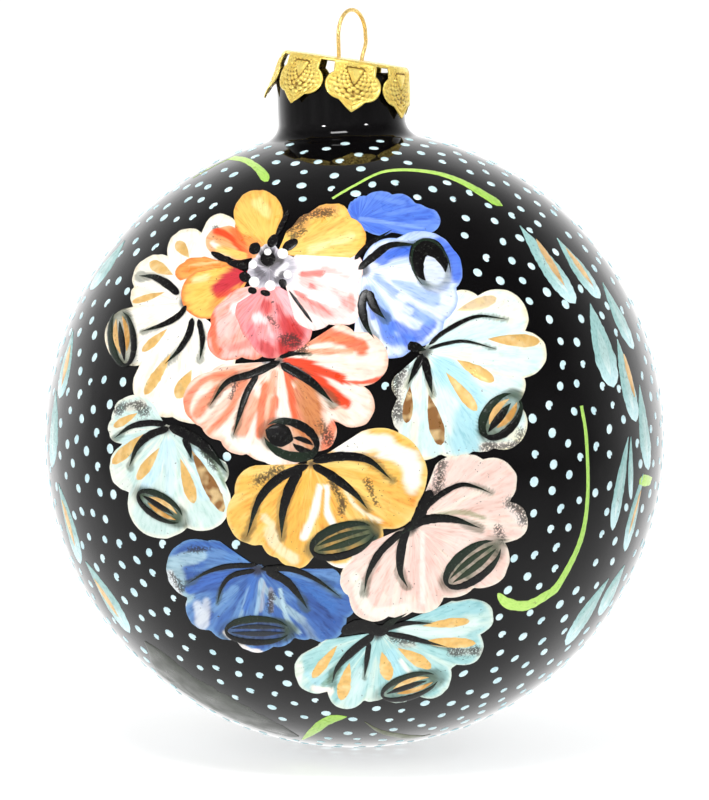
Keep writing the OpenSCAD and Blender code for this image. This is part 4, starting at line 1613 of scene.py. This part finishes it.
def store_press(piece, rise):
    """Stores how far the stamp raises each point; the brass paints shade in brown where the point is sunk."""
    press = piece.data.attributes.new("press", "FLOAT", "POINT")
    press.data.foreach_set("value", rise)


def bore_holes(plate):
    """Cuts the two wire holes through the cap's top."""
    for side in (-1, 1):
        points, faces = lathe([(0.0, -3.0), (HOLE_R, -3.0), (HOLE_R, 3.0), (0.0, 3.0)], 32)
        across = side * LEG_X
        place = (WIRE_X - CAP_CENTRE[0] + across * math.cos(LOOP_TURN), across * math.sin(LOOP_TURN), 0)
        drill = mesh_piece("drill", cap_place(points + np.array(place)), faces, [])
        cut = plate.modifiers.new("hole", "BOOLEAN")
        cut.operation = "DIFFERENCE"
        cut.solver = "EXACT"
        cut.object = drill
        apply_modifiers(plate)
        bpy.data.objects.remove(drill)


class ORNAMENT_OT_wire(bpy.types.Operator):
    """Make the brass wire hanger: a loop whose two legs spring out inside the neck"""

    bl_idname = "ornament.wire"
    bl_label = "Wire Hanger"

    def execute(self, context):
        line = bpy.data.curves.new("wire_line", "CURVE")
        line.dimensions = "3D"
        path = wire_path()
        spline = line.splines.new("POLY")
        spline.points.add(len(path) - 1)
        c, s = math.cos(LOOP_TURN), math.sin(LOOP_TURN)
        for point, (across, height) in zip(spline.points, path):
            point.co = (*to_frame([(WIRE_X + across * c, across * s, height)])[0], 1)
        values = {"Wire radius": context.scene.ornament_hanger.wire_radius, "Brass": drawn_brass()}
        piece = grow("brass_wire_hanger", wire_tree(), values, line)
        claim(piece, "hanger", "hanger_wire", "hanger_wire")
        return {"FINISHED"}


def paint_bouquet(turn, flip, enamel, black_paint, gold_paint):
    """Paints one whole bouquet: flowers, open flower, stems, leaves, lines, seeds and gold."""
    side = "back_" if flip else "front_"
    pieces = [paint_flower(f, i, enamel, turn, flip) for i, f in enumerate(FLOWERS)]
    for index, petal in enumerate(OPEN_FLOWER):
        pieces.append(paint_flower(petal, 3 + index, enamel, turn, flip, 110, 40))
    black, gold = Strokes(turn, flip), Strokes(turn, flip)
    green, beads = Strokes(turn, flip), Strokes(turn, flip)
    for index, flower in enumerate(FLOWERS):
        layer = FIRST_COAT + COAT * index + 0.012
        for width, path in flower.get("veins", []):
            black.add(path, width, tapered, BLACK, GREEN_BLACK, seed=len(black.points))
        for kind, width, start, end in flower.get("drops", []):
            code = {"gold": "F6C674", "pale": "FBE0B4", "bronze": "9A6A3A"}[kind]
            gold.add([start, end], width, drop_reversed, code, lift=layer, height=0.04, seed=len(gold.points))
        if "seed" in flower:
            paint_seed(flower["seed"], black, gold)
    for width, start, end in STAMENS:
        black.add([start, end], width * 0.95, bean, "141113", lift=STROKE_LIFT + 0.02, seed=len(black.points))
    for right, up, radius in ANTHERS:
        path = [(right - radius * 0.85, up), (right + radius * 0.85, up)]
        beads.add(path, radius * 1.8, bean, "F4F1EE", lift=STROKE_LIFT + 0.03, height=0.035)
    for kind, width, start, end in LEAVES:
        if kind == "gold":
            gold.add([start, end], width * 0.8, lens, "EDC48A", "D9A868", lift=0.1, seed=len(gold.points))
        else:
            number = len(green.points)
            green.add([start, end], width * 0.82, drop_reversed, "93BFBC", "CDF0F4", lift=0.04, seed=number)
            inner = [tuple(np.array(start) * (1 - t) + np.array(end) * t) for t in (0.3, 0.86)]
            green.add(inner, width * 0.34, lens, "A9CBC8", "DDF3F2", lift=0.075, seed=len(green.points))
    for index, (profile, width, colour, end_colour, path) in enumerate(STEMS):
        green.add(path, width, BRUSHES[profile], colour, end_colour, lift=0.05, height=0.02, seed=90 + index)
    pieces.append(green.piece(side + "leaves_and_stems", enamel))
    pieces.append(beads.piece(side + "anther_beads", enamel))
    lines = black.piece(side + "black_lines", black_paint)
    gilding = gold.piece(side + "gold_drops", gold_paint)
    for piece in pieces + [lines]:
        claim(piece, "ball", "enamel_paint")
    claim(gilding, "ball", "gold_lustre")


class ORNAMENT_OT_painting(bpy.types.Operator):
    """Paint the bouquet on the front and its mirrored fellow on the back"""

    bl_idname = "ornament.painting"
    bl_label = "Painted Flowers"

    def execute(self, context):
        enamel, black_paint, gold_paint = petal_enamel(), black_enamel(), gold_lustre()
        paint_bouquet(0.0, False, enamel, black_paint, gold_paint)
        paint_bouquet(math.pi, True, enamel, black_paint, gold_paint)
        return {"FINISHED"}


class ORNAMENT_OT_dots(bpy.types.Operator):
    """Scatter the raised dots over the black between the flowers"""

    bl_idname = "ornament.dots"
    bl_label = "Raised Dots"

    def execute(self, context):
        settings = context.scene.ornament_ball
        points, faces = lathe(arc((0, 0), GLAZE_R, -89.9, 74.5, 60), 96)
        ground = mesh_piece("dot_ground", to_frame(turn_y(points, -LEAN)), faces, [])
        painted = [o for o in bpy.data.objects if o.type == "MESH" and "paint" in o.data.attributes]
        painting = copy_joined("painting", painted)
        round_dot, bitten_dot = dot_shape("round_dot", 0.0), dot_shape("bitten_dot", 0.62)
        values = {
            "Glaze": ground, "Painting": painting, "Round dot": round_dot, "Bitten dot": bitten_dot,
            "Spacing": settings.dot_spacing, "Size": settings.dot_radius, "Clearance": settings.dot_clearance,
            "Seed": settings.dot_seed, "Enamel": dot_enamel(srgb_code(settings.dots)),
        }
        piece = grow("raised_dots", dots_tree(), values)
        for helper in (ground, painting, round_dot, bitten_dot):
            bpy.data.objects.remove(helper)
        if len(piece.data.polygons) < 1000:
            raise RuntimeError("the dots weren't made")
        claim(piece, "ball", "enamel_paint")
        return {"FINISHED"}


def hang_lamp(name, lamp, place, aim):
    """Puts a lamp at a place, facing a point, both given in mm from the ball's centre."""
    stand = add_object(name, lamp)
    place, aim = to_frame([place])[0], to_frame([aim])[0]
    stand.location = place
    stand.rotation_mode = "QUATERNION"
    stand.rotation_quaternion = Vector(aim - place).to_track_quat("-Z", "Y")
    return stand


def soft_box(name, place, aim, width, height, power):
    """A rectangular lamp, sized in mm."""
    lamp = bpy.data.lights.new(name, "AREA")
    lamp.shape = "RECTANGLE"
    lamp.size, lamp.size_y = width * MM, height * MM
    lamp.energy = power
    return hang_lamp(name, lamp, place, aim)


def spot_lamp(name, place, aim, power):
    """A narrow lamp with soft edges, kept on the cap."""
    lamp = bpy.data.lights.new(name, "SPOT")
    lamp.energy = power
    lamp.spot_size = math.radians(7)
    lamp.spot_blend = 0.8
    lamp.shadow_soft_size = 60 * MM
    return hang_lamp(name, lamp, place, aim)


def glow(tree, strength):
    """White light of a strength, from all round."""
    return add_node(tree, "ShaderNodeBackground", {"Color": (1, 1, 1, 1), "Strength": strength}).outputs[0]


def white_room(strength):
    """The room's light: white to the eye, even on matt paint, and in reflections dark before the ball,
    where the viewer stands, and white behind it."""
    world = bpy.data.worlds.new("studio_room")
    world.use_nodes = True
    tree = world.node_tree
    tree.nodes.clear()
    way = add_node(tree, "ShaderNodeTexCoord").outputs["Generated"]
    parts = add_node(tree, "ShaderNodeSeparateXYZ", {"Vector": way}).outputs
    behind = sums(tree, "POWER", ranged(tree, parts["Y"], -0.1, 0.85, 0.0, 1.0), 2.0)
    left = ranged(tree, parts["X"], -0.9, 0.5, 1.5, 0.8)
    clouds = ranged(tree, noise(tree, way, 0.35, 3.0), 0.3, 0.7, 0.6, 1.35)
    front = sums(tree, "MULTIPLY", sums(tree, "MULTIPLY", left, clouds), 0.3)
    whole = sums(tree, "MULTIPLY_ADD", behind, 1.6, front)
    below = ranged(tree, parts["Z"], -0.8, 0.0, 0.12, 1.0)
    above = ranged(tree, parts["Z"], 0.05, 0.7, 1.0, 0.36)
    board = ranged(tree, parts["Z"], -0.6, -0.1, 0.8, 0.0)
    mirrored = sums(tree, "MULTIPLY_ADD", sums(tree, "MULTIPLY", whole, below), above, board)
    ray = add_node(tree, "ShaderNodeLightPath").outputs
    lit = {0: ray["Is Glossy Ray"], 1: glow(tree, strength), 2: glow(tree, mirrored)}
    both = add_node(tree, "ShaderNodeMixShader", lit).outputs[0]
    shown = {0: ray["Is Camera Ray"], 1: both, 2: glow(tree, 1.1)}
    mix = add_node(tree, "ShaderNodeMixShader", shown).outputs[0]
    add_node(tree, "ShaderNodeOutputWorld", {"Surface": mix})
    bpy.context.scene.world = world


class ORNAMENT_OT_stage(bpy.types.Operator):
    """Set the white floor, the soft light and the camera"""

    bl_idname = "ornament.stage"
    bl_label = "Floor, Light and Camera"

    def execute(self, context):
        settings = context.scene.ornament_stage
        scene = context.scene
        half = 2500.0
        floor_h = -BALL_R - 0.05
        corners = [(x, y, floor_h) for x, y in ((-half, -half), (half, -half), (half, half), (-half, half))]
        floor = mesh_piece("floor", to_frame(corners), [(0, 1, 2, 3)], [studio_board()])
        floor.visible_glossy = False
        white_room(settings.room)
        soft_box("soft_box_over", (-90, -430, 760), (0, 0, 20), 320, 160, settings.window)
        for name, place in (("fill_left", (-640, -720, 560)), ("fill_right", (680, -680, 600))):
            fill = soft_box(name, place, (0, 0, 0), 600, 600, settings.fill)
            fill.visible_glossy = False
        for name, place in (("cap_spot_left", (-280, -420, 190)), ("cap_spot_right", (330, -330, 210)),
                            ("cap_spot_back", (-60, 480, 260))):
            spot = spot_lamp(name, place, (-1, 0, 60), settings.spot)
            spot.visible_glossy = name != "cap_spot_back"
        camera = bpy.data.cameras.new("camera")
        camera.sensor_fit = "AUTO"
        camera.sensor_width = SENSOR
        camera.lens = SENSOR * EYE_DISTANCE / VIEW_TALL
        camera.clip_start, camera.clip_end = 0.05, 20
        camera.dof.use_dof = False
        eye = add_object("camera", camera)
        eye.location = to_frame([EYE])[0]
        eye.rotation_mode = "QUATERNION"
        eye.rotation_quaternion = Vector(-EYE_BACK).to_track_quat("-Z", "Y")
        scene.camera = eye
        scene.view_settings.view_transform = "Standard"
        scene.view_settings.look = "None"
        return {"FINISHED"}


class ORNAMENT_PT_panel(bpy.types.Panel):
    """Lists the ornament's steps and settings in the sidebar."""

    bl_idname = "ORNAMENT_PT_panel"
    bl_label = "Painted Ornament"
    bl_space_type = "VIEW_3D"
    bl_region_type = "UI"
    bl_category = "Ornament"

    def draw(self, context):
        layout = self.layout
        for owner in OWNERS:
            settings = getattr(context.scene, owner)
            box = layout.box()
            for label in settings.__annotations__:
                box.prop(settings, label)
        for step in STEPS:
            layout.operator(step.bl_idname)


STEPS = (
    ORNAMENT_OT_stage, ORNAMENT_OT_ball, ORNAMENT_OT_cap, ORNAMENT_OT_wire, ORNAMENT_OT_painting,
    ORNAMENT_OT_dots,
)
OWNERS = {
    "ornament_ball": BallSettings, "ornament_hanger": HangerSettings, "ornament_stage": StageSettings,
}
CLASSES = (BallSettings, HangerSettings, StageSettings, *STEPS, ORNAMENT_PT_panel)


def register():
    for cls in CLASSES:
        bpy.utils.register_class(cls)
    for owner, group in OWNERS.items():
        setattr(bpy.types.Scene, owner, bpy.props.PointerProperty(type=group))


def unregister():
    for owner in OWNERS:
        delattr(bpy.types.Scene, owner)
    for cls in reversed(CLASSES):
        bpy.utils.unregister_class(cls)


def main():
    """Registers the add-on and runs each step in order."""
    register()
    for step in STEPS:
        family, name = step.bl_idname.split(".")
        result = getattr(getattr(bpy.ops, family), name)()
        if result != {"FINISHED"}:
            raise RuntimeError(step.bl_idname + " didn't finish")


if __name__ == "__main__":
    main()
